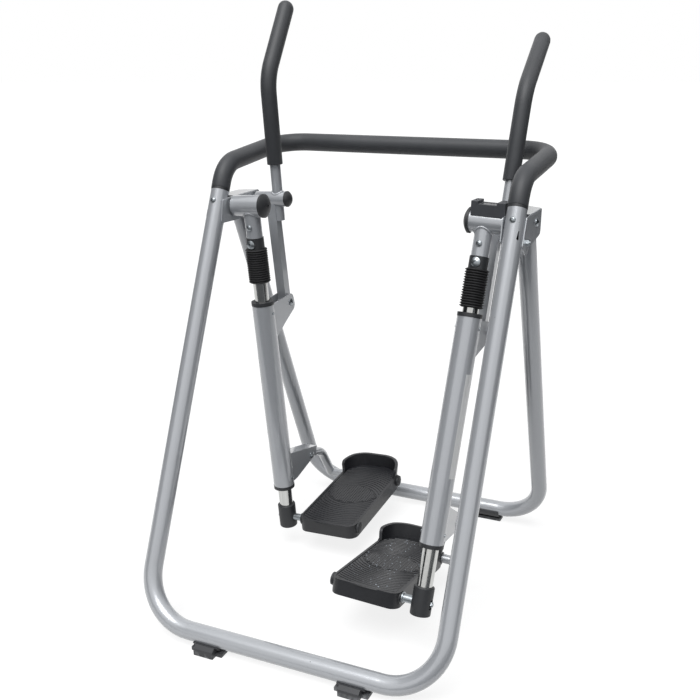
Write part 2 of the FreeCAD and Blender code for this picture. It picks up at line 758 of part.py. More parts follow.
def handle_points(side):
    """Direction of the straight part, its knee and the far end, from the lever's pivot."""
    lean = math.radians(HANDLE_LEAN)
    bend = math.radians(HANDLE_LEAN + HANDLE_BEND)
    up = vec(0, math.sin(lean), math.cos(lean))
    knee = up * (HANDLE_KNEE - HANDLE_SUNK[side])
    end = knee + vec(0, math.sin(bend), math.cos(bend)) * HANDLE_REACH
    return up, knee, end


def handle_frame(shape, side):
    """Both handles sit off their lever's middle, the same way, and lean in a little."""
    shape.rotate(vec(0, 0, 0), vec(0, 0, 1), HANDLE_TWIST[side])
    shape.rotate(vec(0, 0, 0), vec(0, 1, 0), -HANDLE_INWARD[side])
    shape.translate(vec(SIDES[side] * HANDLE_X, 0, 0))
    return shape


def handle_tube(side):
    up, knee, end = handle_points(side)
    tube = bent_tube([up * 2, knee, end], [HANDLE_BEND_R], HANDLE_R, HANDLE_R - HANDLE_WALL)
    tail = pipe(HANDLE_R, HANDLE_R - HANDLE_WALL, up * -2, up * -(HANDLE_STUB + HANDLE_SUNK[side]))
    cross = across(LEVER_HOUSING_R, 0, 0, LEVER_IN - 5, LEVER_OUT + 5)
    half = LINK_BAR / 2
    bar = box(-half, half, -half - LINK_BAR_BACK, half - LINK_BAR_BACK, -LINK_LENGTH, -8)
    tube = handle_frame(tube, side).cut(cross)
    tail = handle_frame(tail, side).cut(cross).cut(bar)
    return group([tube, tail])


def handle_grip(side):
    up, knee, end = handle_points(side)
    start = up * (GRIP_START - HANDLE_SUNK[side])
    run = (end - knee).normalize()
    outer = swept([start, knee, end], [HANDLE_BEND_R], GRIP_R)
    tip = Part.makeSphere(GRIP_R, end)
    keep = Part.makeCylinder(GRIP_R + 1, GRIP_R + 1, end, run)
    body = outer.fuse(tip.common(keep))
    bore = swept([start, knee, end], [HANDLE_BEND_R], HANDLE_R)
    return handle_frame(body.removeSplitter().cut(bore), side)


def lever_cap():
    body = dome_cap(LEVER_HOUSING_R + 0.8, LEVER_IN, 0.0, 13.0, 2.0)
    return body.cut(across(LEVER_HOUSING_R - HOUSING_WALL, 0, 0, LEVER_IN - 4, LEVER_IN))


# Toe link: a gooseneck from the slide's lower bolt to the shaft in the pedal's toe
TOE_LINK_R = 12.5
NECK_KNEE = (88.0, -30.0)
NECK_R = 58.0
LINK_EYE = 15.0
EYE_PLAY = 0.5


def slide_middle(swing):
    """How far down the leg the slide tube's middle is at a swing angle in degrees."""
    return SLIDE_MID + SLIDE_PER_RADIAN * math.radians(swing)


def toe_link():
    """Drawn for a leg that hangs straight down, with the lower bolt at the origin."""
    drop = math.radians(TOE_LINK_DROP)
    toe = vec(0, math.cos(drop), -math.sin(drop)) * TOE_LINK_LENGTH
    knee = vec(0, NECK_KNEE[0], NECK_KNEE[1])
    neck = swept([vec(0, 0, 0), knee, toe], [NECK_R], TOE_LINK_R)
    eye = across(LINK_EYE, 0, 0, -EAR_IN + EYE_PLAY, EAR_IN - EYE_PLAY)
    ball = Part.makeSphere(TOE_LINK_R, toe)
    arm = across(TOE_LINK_R - 1, toe.y, toe.z, -PEDAL_OUTER + 0.8, 0)
    shaft = across(SHAFT_R, toe.y, toe.z, SHAFT_END, -PEDAL_OUTER + 1)
    body = fused([neck, eye, ball, arm, shaft])
    return body.cut(across(PIN_R + FIT, 0, 0, -30, 30))


def toe_link_turn(swing):
    """Turn of the toe link, in the leg's frame, at a swing angle in degrees."""
    return TOE_LINK_PER_RADIAN * swing


def pedal_turn(swing):
    """How far the pedal's toe stands above square to the leg at a swing angle in degrees."""
    return PEDAL_LEVEL + PEDAL_PER_RADIAN * swing


# Pedal, drawn level with the heel shaft at the origin; X runs inward as negative values
BUSH_WALL = 2.5
PEDAL_BUSH = 20.0
TOE_PLAY = 2.4
CUP_HEIGHT = 34.0
CUP_LENGTH = 66.0
CUP_FLARE = 5.0
CUP_WALL = 8.0
DISC_R = 15.0
DISC_GAP = 0.3
DISC_EDGE = 5.0
DISC_TOP = 9.0
DISC_BALL = 30.0
DISC_BEVEL = 1.5
BOSS_HALF = 20.0
BOSS_BELOW_TOP = 2.0


def corner_arc(x, y, radius, start):
    """A quarter turn about (x, y), counterclockwise from the start angle in degrees."""
    points = []
    for turn in (0, 45, 90):
        angle = math.radians(start + turn)
        points.append(vec(x + radius * math.cos(angle), y + radius * math.sin(angle), 0))
    return Part.Arc(*points)


def pedal_outline(inset, x_outer, x_inner, heel, toe):
    """Plan of the pedal: square-sided, rounded heel corners, broad round toe."""
    x0 = x_inner + inset
    x1 = x_outer - inset
    y0 = heel + inset
    y1 = toe - inset
    r_heel = HEEL_CORNER_R - inset
    r_toe = TOE_CORNER_R - inset
    arcs = [
        corner_arc(x0 + r_heel, y0 + r_heel, r_heel, 180),
        corner_arc(x1 - r_heel, y0 + r_heel, r_heel, 270),
        corner_arc(x1 - r_toe, y1 - r_toe, r_toe, 0),
        corner_arc(x0 + r_toe, y1 - r_toe, r_toe, 90),
    ]
    edges = []
    for i, arc in enumerate(arcs):
        following = arcs[(i + 1) % 4]
        edges.append(arc.toShape())
        edges.append(Part.makeLine(arc.EndPoint, following.StartPoint))
    return Part.Face(Part.Wire(edges))


def pedal_prism(inset, z0, z1):
    face = pedal_outline(inset, -PEDAL_OUTER, SHAFT_END, -PEDAL_HEEL, PEDAL_REACH + PEDAL_TOE)
    face.translate(vec(0, 0, z0))
    return face.extrude(vec(0, 0, z1 - z0))


def pedal_ring(inset, z):
    """The pedal's outline as a wire at one height."""
    face = pedal_outline(inset, -PEDAL_OUTER, SHAFT_END, -PEDAL_HEEL, PEDAL_REACH + PEDAL_TOE)
    face.translate(vec(0, 0, z))
    return face.OuterWire


def toe_cup():
    """A wall round the toe that leans outward as it rises."""
    low = PEDAL_TOP - 1
    high = PEDAL_TOP + CUP_HEIGHT
    outer = Part.makeLoft([pedal_ring(0, low), pedal_ring(-CUP_FLARE, high)], True, True)
    inner = Part.makeLoft([pedal_ring(CUP_WALL, low), pedal_ring(CUP_WALL - CUP_FLARE, high)], True, True)
    toe_end = PEDAL_REACH + PEDAL_TOE
    start = toe_end - CUP_LENGTH
    keep = [(start, low, 0), (start + 6, high - 6, 16), (toe_end - 14, high, 0),
            (toe_end + 9, high, 0), (toe_end + 9, low, 0)]
    return outer.cut(inner).common(plate(keep, SHAFT_END - 9, -PEDAL_OUTER + 9))


def pedal():
    bottom = PEDAL_TOP - PEDAL_DEPTH
    body = pedal_prism(0, bottom, PEDAL_TOP)
    body = body.cut(pedal_prism(PEDAL_RIM, PEDAL_TOP - PEDAL_SINK, PEDAL_TOP))
    body = body.cut(pedal_prism(PEDAL_WALL, bottom, PEDAL_TOP - PEDAL_FLOOR))
    inner = SHAFT_END + 1
    outer = -PEDAL_OUTER
    bosses = []
    for y in (0, PEDAL_REACH):
        boss = across(PEDAL_BOSS_R, y, 0, inner, outer)
        room = box(SHAFT_END, outer, y - BOSS_HALF, y + BOSS_HALF, bottom, PEDAL_TOP - BOSS_BELOW_TOP)
        bosses.append(boss.common(room))
    body = fused([body, toe_cup()] + bosses)
    body = body.cut(across(SHAFT_R + BUSH_WALL, 0, 0, SHAFT_END - 1, outer + 1))
    return body.cut(across(SHAFT_R + TOE_PLAY, PEDAL_REACH, 0, SHAFT_END - 1, outer + 1))


def pedal_bushes():
    outer = -PEDAL_OUTER
    pieces = []
    for x0, x1 in ((outer - PEDAL_BUSH, outer), (SHAFT_END, SHAFT_END + PEDAL_BUSH)):
        pieces.append(pipe(SHAFT_R + BUSH_WALL, SHAFT_R + FIT, vec(x0, 0, 0), vec(x1, 0, 0)))
    return group(pieces)


def pedal_caps():
    """Round caps over the shafts' inner ends."""
    pieces = []
    for y in (0, PEDAL_REACH):
        disc = across(DISC_R, y, 0, SHAFT_END - DISC_GAP, SHAFT_END - DISC_EDGE)
        ball = Part.makeSphere(DISC_BALL, vec(SHAFT_END - DISC_TOP + DISC_BALL, y, 0))
        crown = across(DISC_R - DISC_BEVEL, y, 0, SHAFT_END - DISC_EDGE, SHAFT_END - DISC_TOP).common(ball)
        pieces.append(fused([disc, crown]))
    return group(pieces)


# Exercise counter: a saddle box on the right leg's pivot housing
COUNTER_X = (-28.0, 60.0)
COUNTER_END = 44.0
COUNTER_HALF = 21.0
COUNTER_TOP = 45.0
COUNTER_GAP = 0.6
COUNTER_BUTTON = (-20.5, 0.0)
COUNTER_BOTTOM = 11.0
COUNTER_STEP = 6.0
COUNTER_RISE = 15.0
WINDOW_IN = 19.0
WINDOW_Y = (-12.0, 10.0)
WINDOW_DEPTH = 8.0
WINDOW_THICK = 1.5
BUTTON_R = 3.9
BUTTON_BORE = 4.3
BUTTON_BORE_DEEP = 11.0
BUTTON_DEEP = 8.5
BUTTON_PROUD = 1.2


def counter_housing():
    x0, x1 = COUNTER_X
    y0, y1 = WINDOW_Y
    step = COUNTER_TOP - COUNTER_STEP
    body = box(x0, x1, -COUNTER_HALF, COUNTER_HALF, COUNTER_BOTTOM, step)
    inner_end = box(x0, x0 + COUNTER_RISE, -COUNTER_HALF, COUNTER_HALF, step, COUNTER_TOP)
    outer_end = box(COUNTER_END - COUNTER_RISE, x1, -COUNTER_HALF, COUNTER_HALF, step, COUNTER_TOP)
    body = fused([body, inner_end, outer_end])
    body = body.cut(across(HOUSING_R + COUNTER_GAP, 0, 0, x0 - 1, x1 + 1))
    well = COUNTER_TOP - WINDOW_DEPTH
    body = body.cut(box(x0 + WINDOW_IN, COUNTER_END - WINDOW_IN, y0, y1, well, COUNTER_TOP))
    x, y = COUNTER_BUTTON
    return body.cut(rod(BUTTON_BORE, vec(x, y, COUNTER_TOP - BUTTON_BORE_DEEP), vec(x, y, COUNTER_TOP + 1)))


def counter_window():
    start = COUNTER_X[0] + WINDOW_IN
    end = COUNTER_END - WINDOW_IN
    well = COUNTER_TOP - WINDOW_DEPTH
    return box(start, end, WINDOW_Y[0], WINDOW_Y[1], well, well + WINDOW_THICK)


def counter_button():
    x, y = COUNTER_BUTTON
    return rod(BUTTON_R, vec(x, y, COUNTER_TOP - BUTTON_DEEP), vec(x, y, COUNTER_TOP + BUTTON_PROUD))


def add(name, shape):
    nodes[name] = shape


NUT_PER_RADIUS = 3.2
THROUGH_HEAD = 4.5
THROUGH_NUT = 5.0
STUD_NUT = 6.0
STUD_TAIL = 9.0
FOLD_HEAD_R = 9.0
STUD_HEAD_R = 8.0


def bolt_row(radius, head_r, place, through):
    """One bolt per upright, with its nut; through bolts reach past the inner cheek."""
    face = CHEEK_IN + PLATE
    flats = radius * NUT_PER_RADIUS
    y, z = place
    pieces = []
    for sign in (-1, 1):
        if through:
            bolt = button_bolt(radius, head_r, THROUGH_HEAD, y, z, face, -face - THROUGH_NUT)
            bolt = fused([bolt, nut(flats, THROUGH_NUT, radius, y, z, -face, -1)])
        else:
            bolt = across(radius, y, z, TUBE_BORE, face + STUD_TAIL)
            bolt = fused([bolt, nut(flats, STUD_NUT, radius, y, z, face, 1)])
        if sign < 0:
            bolt = mirrored(bolt)
        bolt.translate(vec(sign * HALF_WIDTH, 0, 0))
        pieces.append(bolt)
    return pieces


def handlebar_bolt_hole(sign):
    centre = on_upright(HANDLEBAR_BOLT_BELOW) + vec(sign * HALF_WIDTH, 0, 0)
    out = vec(0, -UPRIGHT_RUN.z, UPRIGHT_RUN.y)
    head = rod(HANDLEBAR_BOLT_HEAD, centre + out * (TUBE_R - SEAT_DEPTH), centre + out * 40)
    return rod(BOLT_R, centre, centre + out * 40).fuse(head)


# A drop-shaped slot in each upright, on the side that faces out and back: how far its ends are
# below the upright's top, and their radii
SLOT_ENDS = ((52.0, 1.4), (66.5, 3.2))
SLOT_FROM = 15.0
SLOT_DEEP = 24.0


def upright_slot(sign):
    out = vec(0, -UPRIGHT_RUN.z, UPRIGHT_RUN.y)
    away = (vec(sign, 0, 0) + out).normalize()
    sideways = away.cross(UPRIGHT_RUN).normalize()
    tools = []
    edges = []
    for below, radius in SLOT_ENDS:
        centre = on_upright(below) + vec(sign * HALF_WIDTH, 0, 0) + away * SLOT_FROM
        tools.append(rod(radius, centre, centre + away * SLOT_DEEP))
        edges.append((centre - sideways * radius, centre + sideways * radius))
    (top_left, top_right), (low_left, low_right) = edges
    outline = Part.makePolygon([top_left, top_right, low_right, low_left, top_left])
    return fused(tools + [Part.Face(outline).extrude(away * SLOT_DEEP)])


def build_frame():
    tube = main_frame_tube()
    bar = handlebar_tube()
    for sign in (-1, 1):
        hole = handlebar_bolt_hole(sign)
        tube = tube.cut(hole).cut(upright_slot(sign))
        bar = bar.cut(hole)
        inside = sign * (HALF_WIDTH + TUBE_BORE - 1)
        tube = tube.cut(across(BOLT_R, BRACKET_BOLT[0], BRACKET_BOLT[1], inside, sign * (HALF_WIDTH + 40)))
    add("main_frame_tube", tube)
    add("handlebar_tube", bar)
    add("handlebar_foam", handlebar_foam())
    add("handlebar_rings", handlebar_rings())
    add("left_fold_bracket", fold_bracket(-1))
    add("right_fold_bracket", fold_bracket(1))
    add("fold_pivot_bolts", group(bolt_row(FOLD_BOLT_R, FOLD_HEAD_R, FOLD_PIVOT, True)))
    fixings = bolt_row(BOLT_R, STUD_HEAD_R, BRACKET_BOLT, False)
    add("frame_bolts", group([handlebar_bolt(-1), handlebar_bolt(1)] + fixings))
    stop = stop_pin_place()
    face = CHEEK_IN + PLATE
    stops = []
    for sign in (-1, 1):
        pin = across(STOP_PIN_R, stop[0], stop[1], -face, face)
        pin.translate(vec(sign * HALF_WIDTH, 0, 0))
        stops.append(pin)
    add("fold_stop_pins", group(stops))
    add("main_feet", group([foot(x, -1, MAIN_FOOT_BASE) for x in MAIN_FEET_X]))
    add("front_frame_tube", front_frame_tube())
    add("front_feet", group([foot(x, 1, FRONT_FOOT_BASE) for x in FRONT_FEET_X]))
    axles = []
    for side in SIDES:
        for axle in (leg_axle(), lever_axle()):
            axles.append(inner_cheek_trim(side, placed(axle, side, 0)))
    add("pivot_axles", group(axles))


def build_leg(side):
    swing = LEG_REST[side]
    leg = {
        "leg_pivot_housing": leg_pivot_housing(),
        "leg_pivot_bushes": bushes(HOUSING_R - HOUSING_WALL, AXLE_R + FIT, HOUSING_IN, HOUSING_OUT),
        "leg_pivot_cap": leg_cap(),
        "leg_rod": leg_rod(),
        "boot_sleeve": boot_sleeve(),
        "ribbed_boot": ribbed_boot(),
        "rod_shoe": rod_shoe(),
        "heel_shaft": heel_shaft(),
        "leg_fasteners": group([leg_bolts(), heel_nut()]),
    }
    for name, shape in leg.items():
        add(side + "_" + name, placed(shape, side, swing))


def build_slide(side):
    swing = LEG_REST[side]
    slide = {
        "slide_tube": slide_tube(),
        "slide_bushings": slide_bushings(),
        "upper_bracket": upper_bracket(),
        "lower_bracket": lower_bracket(),
        "slide_fasteners": group([bracket_bolts(), slide_rivets()]),
    }
    for name, shape in slide.items():
        shape.translate(vec(0, 0, -slide_middle(swing)))
        add(side + "_" + name, placed(shape, side, swing))


def build_lever(side):
    turn = LEG_REST[side] * LEVER_PER_RADIAN + LEVER_LEAD
    lever = {
        "lever_pivot_housing": lever_pivot_housing(),
        "lever_bushes": bushes(LEVER_HOUSING_R - HOUSING_WALL, LEVER_AXLE_R + FIT, LEVER_IN, LEVER_OUT),
        "lever_cap": lever_cap(),
        "handle_tube": handle_tube(side),
        "handle_grip": handle_grip(side),
    }
    for name, shape in lever.items():
        shape.rotate(vec(0, 0, 0), vec(1, 0, 0), turn)
        shape.translate(vec(0, LEVER_AHEAD, LEVER_ABOVE))
        add(side + "_" + name, placed(shape, side, 0))


def build_pedal(side):
    swing = LEG_REST[side]
    link = toe_link()
    link.rotate(vec(0, 0, 0), vec(1, 0, 0), toe_link_turn(swing))
    link.translate(vec(0, LOWER_PIN[0], -slide_middle(swing) - LOWER_PIN[1]))
    add(side + "_toe_link", placed(link, side, swing))
    for name, shape in (("pedal", pedal()), ("pedal_fittings", group([pedal_bushes(), pedal_caps()]))):
        shape.rotate(vec(0, 0, 0), vec(1, 0, 0), pedal_turn(swing))
        shape.translate(vec(0, 0, -HEEL_DOWN))
        add(side + "_" + name, placed(shape, side, swing))


def build_counter():
    housing = inner_cheek_trim("right", placed(counter_housing(), "right", 0))
    add("counter_housing", housing)
    add("counter_window", placed(counter_window(), "right", 0))
    add("counter_button", placed(counter_button(), "right", 0))


build_frame()
for side in SIDES:
    build_leg(side)
    build_slide(side)
    build_lever(side)
    build_pedal(side)
build_counter()

os.makedirs("parts", exist_ok=True)
for name, shape in nodes.items():
    for solid in shape.Solids:
        if not solid.isValid():
            print("not valid:", name)
    shape.exportStep(os.path.join("parts", name + ".step"))
print(len(nodes), "nodes")
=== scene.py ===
import json
import math

import bmesh
import bpy
from mathutils import Euler, Matrix, Vector

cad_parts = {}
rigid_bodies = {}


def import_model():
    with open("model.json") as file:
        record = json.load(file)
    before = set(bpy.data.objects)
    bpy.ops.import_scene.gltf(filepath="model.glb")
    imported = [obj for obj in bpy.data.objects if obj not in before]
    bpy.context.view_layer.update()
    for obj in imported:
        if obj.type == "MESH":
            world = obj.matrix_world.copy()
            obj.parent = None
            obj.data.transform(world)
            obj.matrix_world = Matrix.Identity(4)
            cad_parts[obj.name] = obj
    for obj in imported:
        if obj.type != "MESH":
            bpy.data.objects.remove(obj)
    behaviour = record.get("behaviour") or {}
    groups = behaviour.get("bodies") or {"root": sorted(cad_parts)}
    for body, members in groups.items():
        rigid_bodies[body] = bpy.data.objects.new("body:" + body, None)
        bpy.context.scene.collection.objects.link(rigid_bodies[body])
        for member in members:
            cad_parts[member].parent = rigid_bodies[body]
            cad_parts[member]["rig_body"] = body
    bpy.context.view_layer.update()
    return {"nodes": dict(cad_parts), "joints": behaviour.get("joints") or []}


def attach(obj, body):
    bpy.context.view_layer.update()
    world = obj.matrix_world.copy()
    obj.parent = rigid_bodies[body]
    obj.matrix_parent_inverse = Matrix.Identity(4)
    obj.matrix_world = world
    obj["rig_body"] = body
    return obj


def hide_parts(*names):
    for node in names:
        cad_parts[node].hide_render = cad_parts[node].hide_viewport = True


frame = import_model()


# Viewpoint: the machine is seen from behind its right-hand side, from chest height and two
# metres away, and the picture is cut a little off the lens's middle.
VIEW_FROM = (0.8768, -1.8128, 1.2497)
VIEW_TILT = math.radians(69.27)
VIEW_HEADING = math.radians(22.82)
view_data = bpy.data.cameras.new("viewpoint")
view_data.sensor_width = 36.0
view_data.lens = 45.67
view_data.shift_x = -0.0774
view_data.shift_y = 0.0699
viewpoint = bpy.data.objects.new("viewpoint", view_data)
viewpoint.location = VIEW_FROM
viewpoint.rotation_euler = (VIEW_TILT, 0, VIEW_HEADING)
bpy.context.scene.collection.objects.link(viewpoint)
bpy.context.scene.camera = viewpoint
bpy.context.scene.view_settings.view_transform = "Standard"


# Welded steel tubes and pressed plates: the two bent frames, the handlebar's tube, the fold
# brackets, housings, slide tubes, link bars, handles and goosenecks. All are sprayed in one
# silver enamel, so they share its finish.
SIDES = ("left", "right")


def linear(code):
    """An sRGB hex colour as the linear values that a shader takes."""
    parts = [int(code[i:i + 2], 16) / 255 for i in (1, 3, 5)]
    return [c / 12.92 if c <= 0.04045 else ((c + 0.055) / 1.055) ** 2.4 for c in parts] + [1.0]


def add_node(tree, kind, settings, values, links):
    """A node with its settings, socket values and links from other nodes' outputs."""
    node = tree.nodes.new(kind)
    for name, value in settings.items():
        setattr(node, name, value)
    for socket, value in values.items():
        node.inputs[socket].default_value = value
    for socket, source in links.items():
        tree.links.new(source, node.inputs[socket])
    return node


def new_finish(name):
    """A material with only its output and a Principled shader, and its Object coordinates."""
    finish = bpy.data.materials.new(name)
    finish.use_nodes = True
    tree = finish.node_tree
    tree.nodes.clear()
    shader = add_node(tree, "ShaderNodeBsdfPrincipled", {}, {}, {})
    add_node(tree, "ShaderNodeOutputMaterial", {}, {}, {"Surface": shader.outputs["BSDF"]})
    place = add_node(tree, "ShaderNodeTexCoord", {}, {}, {})
    return finish, tree, shader, place.outputs["Object"]


def paint(piece, finish):
    """The piece's whole surface takes one finish."""
    piece.data.materials.clear()
    piece.data.materials.append(finish)
    for polygon in piece.data.polygons:
        polygon.material_index = 0


def paint_nodes(finish, single_names, paired_names):
    """One finish for CAD pieces that there is one of, and for pairs of a left and a right one."""
    names = list(single_names) + [side + "_" + part for part in paired_names for side in SIDES]
    for name in names:
        paint(frame["nodes"][name], finish)


def silver_enamel():
    """Stoved enamel with fine aluminium flake: a soft satin body under a thin clear coat, a faint
    orange peel of about 3 mm, and a few small dark chips where it has been knocked. The real
    flake of 0.05 mm is drawn at about 1.4 mm, so that it still shows."""
    finish, tree, shader, place = new_finish("silver_flake_enamel")
    flake = add_node(tree, "ShaderNodeTexNoise", {}, {"Scale": 700.0, "Detail": 1.0}, {"Vector": place})
    cloud = add_node(tree, "ShaderNodeTexNoise", {}, {"Scale": 9.0, "Detail": 3.0}, {"Vector": place})
    grain = add_node(tree, "ShaderNodeMix", {"data_type": "RGBA"},
                     {6: linear("#B4B7BC"), 7: linear("#C9CCD1")}, {0: flake.outputs["Fac"]})
    tone = add_node(tree, "ShaderNodeMix", {"data_type": "RGBA"},
                    {7: linear("#B9BCC0")}, {6: grain.outputs[2], 0: cloud.outputs["Fac"]})
    chips = add_node(tree, "ShaderNodeTexVoronoi", {}, {"Scale": 55.0}, {"Vector": place})
    chip_edge = add_node(tree, "ShaderNodeMapRange", {},
                         {"From Min": 0.04, "From Max": 0.07, "To Min": 1.0, "To Max": 0.0},
                         {"Value": chips.outputs["Distance"]})
    knocked = add_node(tree, "ShaderNodeMath", {"operation": "GREATER_THAN"}, {1: 0.84},
                       {0: chips.outputs["Color"]})
    chip = add_node(tree, "ShaderNodeMath", {"operation": "MULTIPLY"}, {},
                    {0: chip_edge.outputs["Result"], 1: knocked.outputs["Value"]})
    worn = add_node(tree, "ShaderNodeMix", {"data_type": "RGBA"},
                    {7: linear("#55565A")}, {6: tone.outputs[2], 0: chip.outputs["Value"]})
    peel = add_node(tree, "ShaderNodeTexNoise", {}, {"Scale": 330.0, "Detail": 0.0}, {"Vector": place})
    peel_bump = add_node(tree, "ShaderNodeBump", {}, {"Strength": 0.04, "Distance": 0.0004},
                         {"Height": peel.outputs["Fac"]})
    gloss = add_node(tree, "ShaderNodeMapRange", {}, {"To Min": 0.26, "To Max": 0.34},
                     {"Value": cloud.outputs["Fac"]})
    tree.links.new(worn.outputs[2], shader.inputs["Base Color"])
    tree.links.new(gloss.outputs["Result"], shader.inputs["Roughness"])
    tree.links.new(peel_bump.outputs["Normal"], shader.inputs["Normal"])
    shader.inputs["Metallic"].default_value = 0.22
    shader.inputs["Coat Weight"].default_value = 0.85
    shader.inputs["Coat Roughness"].default_value = 0.05
    return finish


enamel = silver_enamel()
paint_nodes(enamel, ("main_frame_tube", "front_frame_tube", "handlebar_tube"),
            ("leg_pivot_housing", "slide_tube", "lever_pivot_housing", "handle_tube", "toe_link"))


# Pressed brackets: the two fold brackets and the ears and boxes on the slide tubes. They are
# 2.5 mm steel plate, so their cut edges are dressed round before they are painted.
TOUCHING = 0.00001
COPLANAR = math.radians(1)
CUT_EDGE = math.radians(38)
CREASE = math.radians(50)
PLATE_EDGE = 0.0008


def deselect_all():
    for other in bpy.context.selected_objects:
        other.select_set(False)


def select_only(piece):
    deselect_all()
    piece.select_set(True)
    bpy.context.view_layer.objects.active = piece


def apply_modifiers(piece):
    """The piece's modifiers become part of its mesh, from the first to the last."""
    select_only(piece)
    for modifier in list(piece.modifiers):
        bpy.ops.object.modifier_apply(modifier=modifier.name)


def dressed(node_name, width, segments, finish):
    """A copy of a CAD piece with its sharp edges rounded, in the place of the plain one. The
    normals are weighted by area, so that flat faces stay flat beside their round edges."""
    node = frame["nodes"][node_name]
    piece = bpy.data.objects.new(node_name + "_dressed", node.data.copy())
    bpy.context.scene.collection.objects.link(piece)
    select_only(piece)
    bpy.ops.object.mode_set(mode="EDIT")
    bpy.ops.mesh.select_all(action="SELECT")
    bpy.ops.mesh.remove_doubles(threshold=TOUCHING)
    bpy.ops.mesh.dissolve_limited(angle_limit=COPLANAR)
    bpy.ops.object.mode_set(mode="OBJECT")
    edge = piece.modifiers.new("edge", "BEVEL")
    edge.width = width
    edge.segments = segments
    edge.limit_method = "ANGLE"
    edge.angle_limit = CUT_EDGE
    edge.use_clamp_overlap = True
    apply_modifiers(piece)
    bpy.ops.object.shade_smooth_by_angle(angle=CREASE)
    facing = piece.modifiers.new("facing", "WEIGHTED_NORMAL")
    facing.weight = 100
    facing.keep_sharp = True
    apply_modifiers(piece)
    paint(piece, finish)
    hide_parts(node_name)
    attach(piece, node["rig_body"])
    return piece


for part in ("_fold_bracket", "_upper_bracket", "_lower_bracket"):
    for side in SIDES:
        dressed(side + part, PLATE_EDGE, 2, enamel)


# Zinc-plated fasteners and shafts: button-head bolts, nuts, rivets, stop pins, the fixed
# axles and the heel shafts. They are turned or pressed from steel and plated in a barrel.
def mottled(tree, shader, place, scale, detail, low_colour, high_colour):
    """The shader's colour drifts between two tones in soft patches. The patches' strength and
    the colour come back, for what else follows them."""
    patches = add_node(tree, "ShaderNodeTexNoise", {}, {"Scale": scale, "Detail": detail}, {"Vector": place})
    tint = add_node(tree, "ShaderNodeMix", {"data_type": "RGBA"},
                    {6: linear(low_colour), 7: linear(high_colour)}, {0: patches.outputs["Fac"]})
    tree.links.new(tint.outputs[2], shader.inputs["Base Color"])
    return patches.outputs["Fac"], tint.outputs[2]


def bright_zinc():
    """Bright zinc plate: a soft, slightly blue metal with cloudy spangle of about 6 mm."""
    finish, tree, shader, place = new_finish("bright_zinc_plate")
    cloud = mottled(tree, shader, place, 160.0, 4.0, "#7C8287", "#A9AEB1")[0]
    turned = add_node(tree, "ShaderNodeMapRange", {}, {"To Min": 0.26, "To Max": 0.42}, {"Value": cloud})
    dents = add_node(tree, "ShaderNodeBump", {}, {"Strength": 0.12, "Distance": 0.0003}, {"Height": cloud})
    tree.links.new(turned.outputs["Result"], shader.inputs["Roughness"])
    tree.links.new(dents.outputs["Normal"], shader.inputs["Normal"])
    shader.inputs["Metallic"].default_value = 1.0
    return finish


paint_nodes(bright_zinc(), ("fold_pivot_bolts", "frame_bolts", "fold_stop_pins", "pivot_axles"),
            ("heel_shaft", "leg_fasteners", "slide_fasteners"))


# Weld beads: where the stub meets the leg's cross tube, and where the handle meets the lever's.
# A bead is 5 mm wide with a ripple about every 3 mm, under the enamel. Both sides lean in at the
# top, and each leg hangs at its own angle, with its lever turned to suit.
SIDE_LEAN = 2.3
LEG_SWING = {"left": 2.6, "right": -18.8}
# a lever turns by nearly its leg's swing, from a start of its own
LEVER_PER_LEG = 0.989
LEVER_START = 1.15
HANDLE_OUTWARD = 0.014
# the right handle leans and turns in differently from the left one
HANDLE_INWARD = {"left": 1.6, "right": 0.3}
HANDLE_TWIST = {"left": 0.0, "right": 5.0}
BEAD_RADIUS = 0.0026
BEAD_RIPPLE = 0.00283
BEAD_SWELL = 0.14
STUB_RADIUS = 0.0195
LEG_HOUSING_RADIUS = 0.0245
HANDLE_RADIUS = 0.0130
LEVER_HOUSING_RADIUS = 0.0185


def side_frame(side, joint_name, degrees):
    """Matrix from a piece's own frame to the machine. That frame sits at the piece's joint, is
    turned by some degrees in the leaning plane of its side, and is mirrored on the left."""
    joint = [j for j in frame["joints"] if j["name"] == side + joint_name][0]
    sign = -1 if side == "left" else 1
    turn = Euler((math.radians(degrees), math.radians(sign * SIDE_LEAN), 0), "XYZ")
    return Matrix.Translation(joint["pos_m"]) @ turn.to_matrix().to_4x4() @ Matrix.Diagonal((sign, 1, 1, 1))


def leg_frame(side):
    """The leg's own frame hangs straight down from its pivot."""
    return side_frame(side, "_leg_swing", LEG_SWING[side])


def handle_frame(side):
    """The handle's own frame stands straight up from the lever's pivot."""
    sign = -1 if side == "left" else 1
    place = side_frame(side, "_lever_swing", LEG_SWING[side] * LEVER_PER_LEG + LEVER_START)
    place = place @ Matrix.Translation((sign * HANDLE_OUTWARD, 0, 0))
    place = place @ Matrix.Rotation(math.radians(-HANDLE_INWARD[side]), 4, "Y")
    return place @ Matrix.Rotation(math.radians(HANDLE_TWIST[side]), 4, "Z")


def turned_out(piece):
    """Doubles merged and faces turned outward."""
    select_only(piece)
    bpy.ops.object.mode_set(mode="EDIT")
    bpy.ops.mesh.select_all(action="SELECT")
    bpy.ops.mesh.remove_doubles(threshold=TOUCHING)
    bpy.ops.mesh.normals_make_consistent(inside=False)
    bpy.ops.object.mode_set(mode="OBJECT")


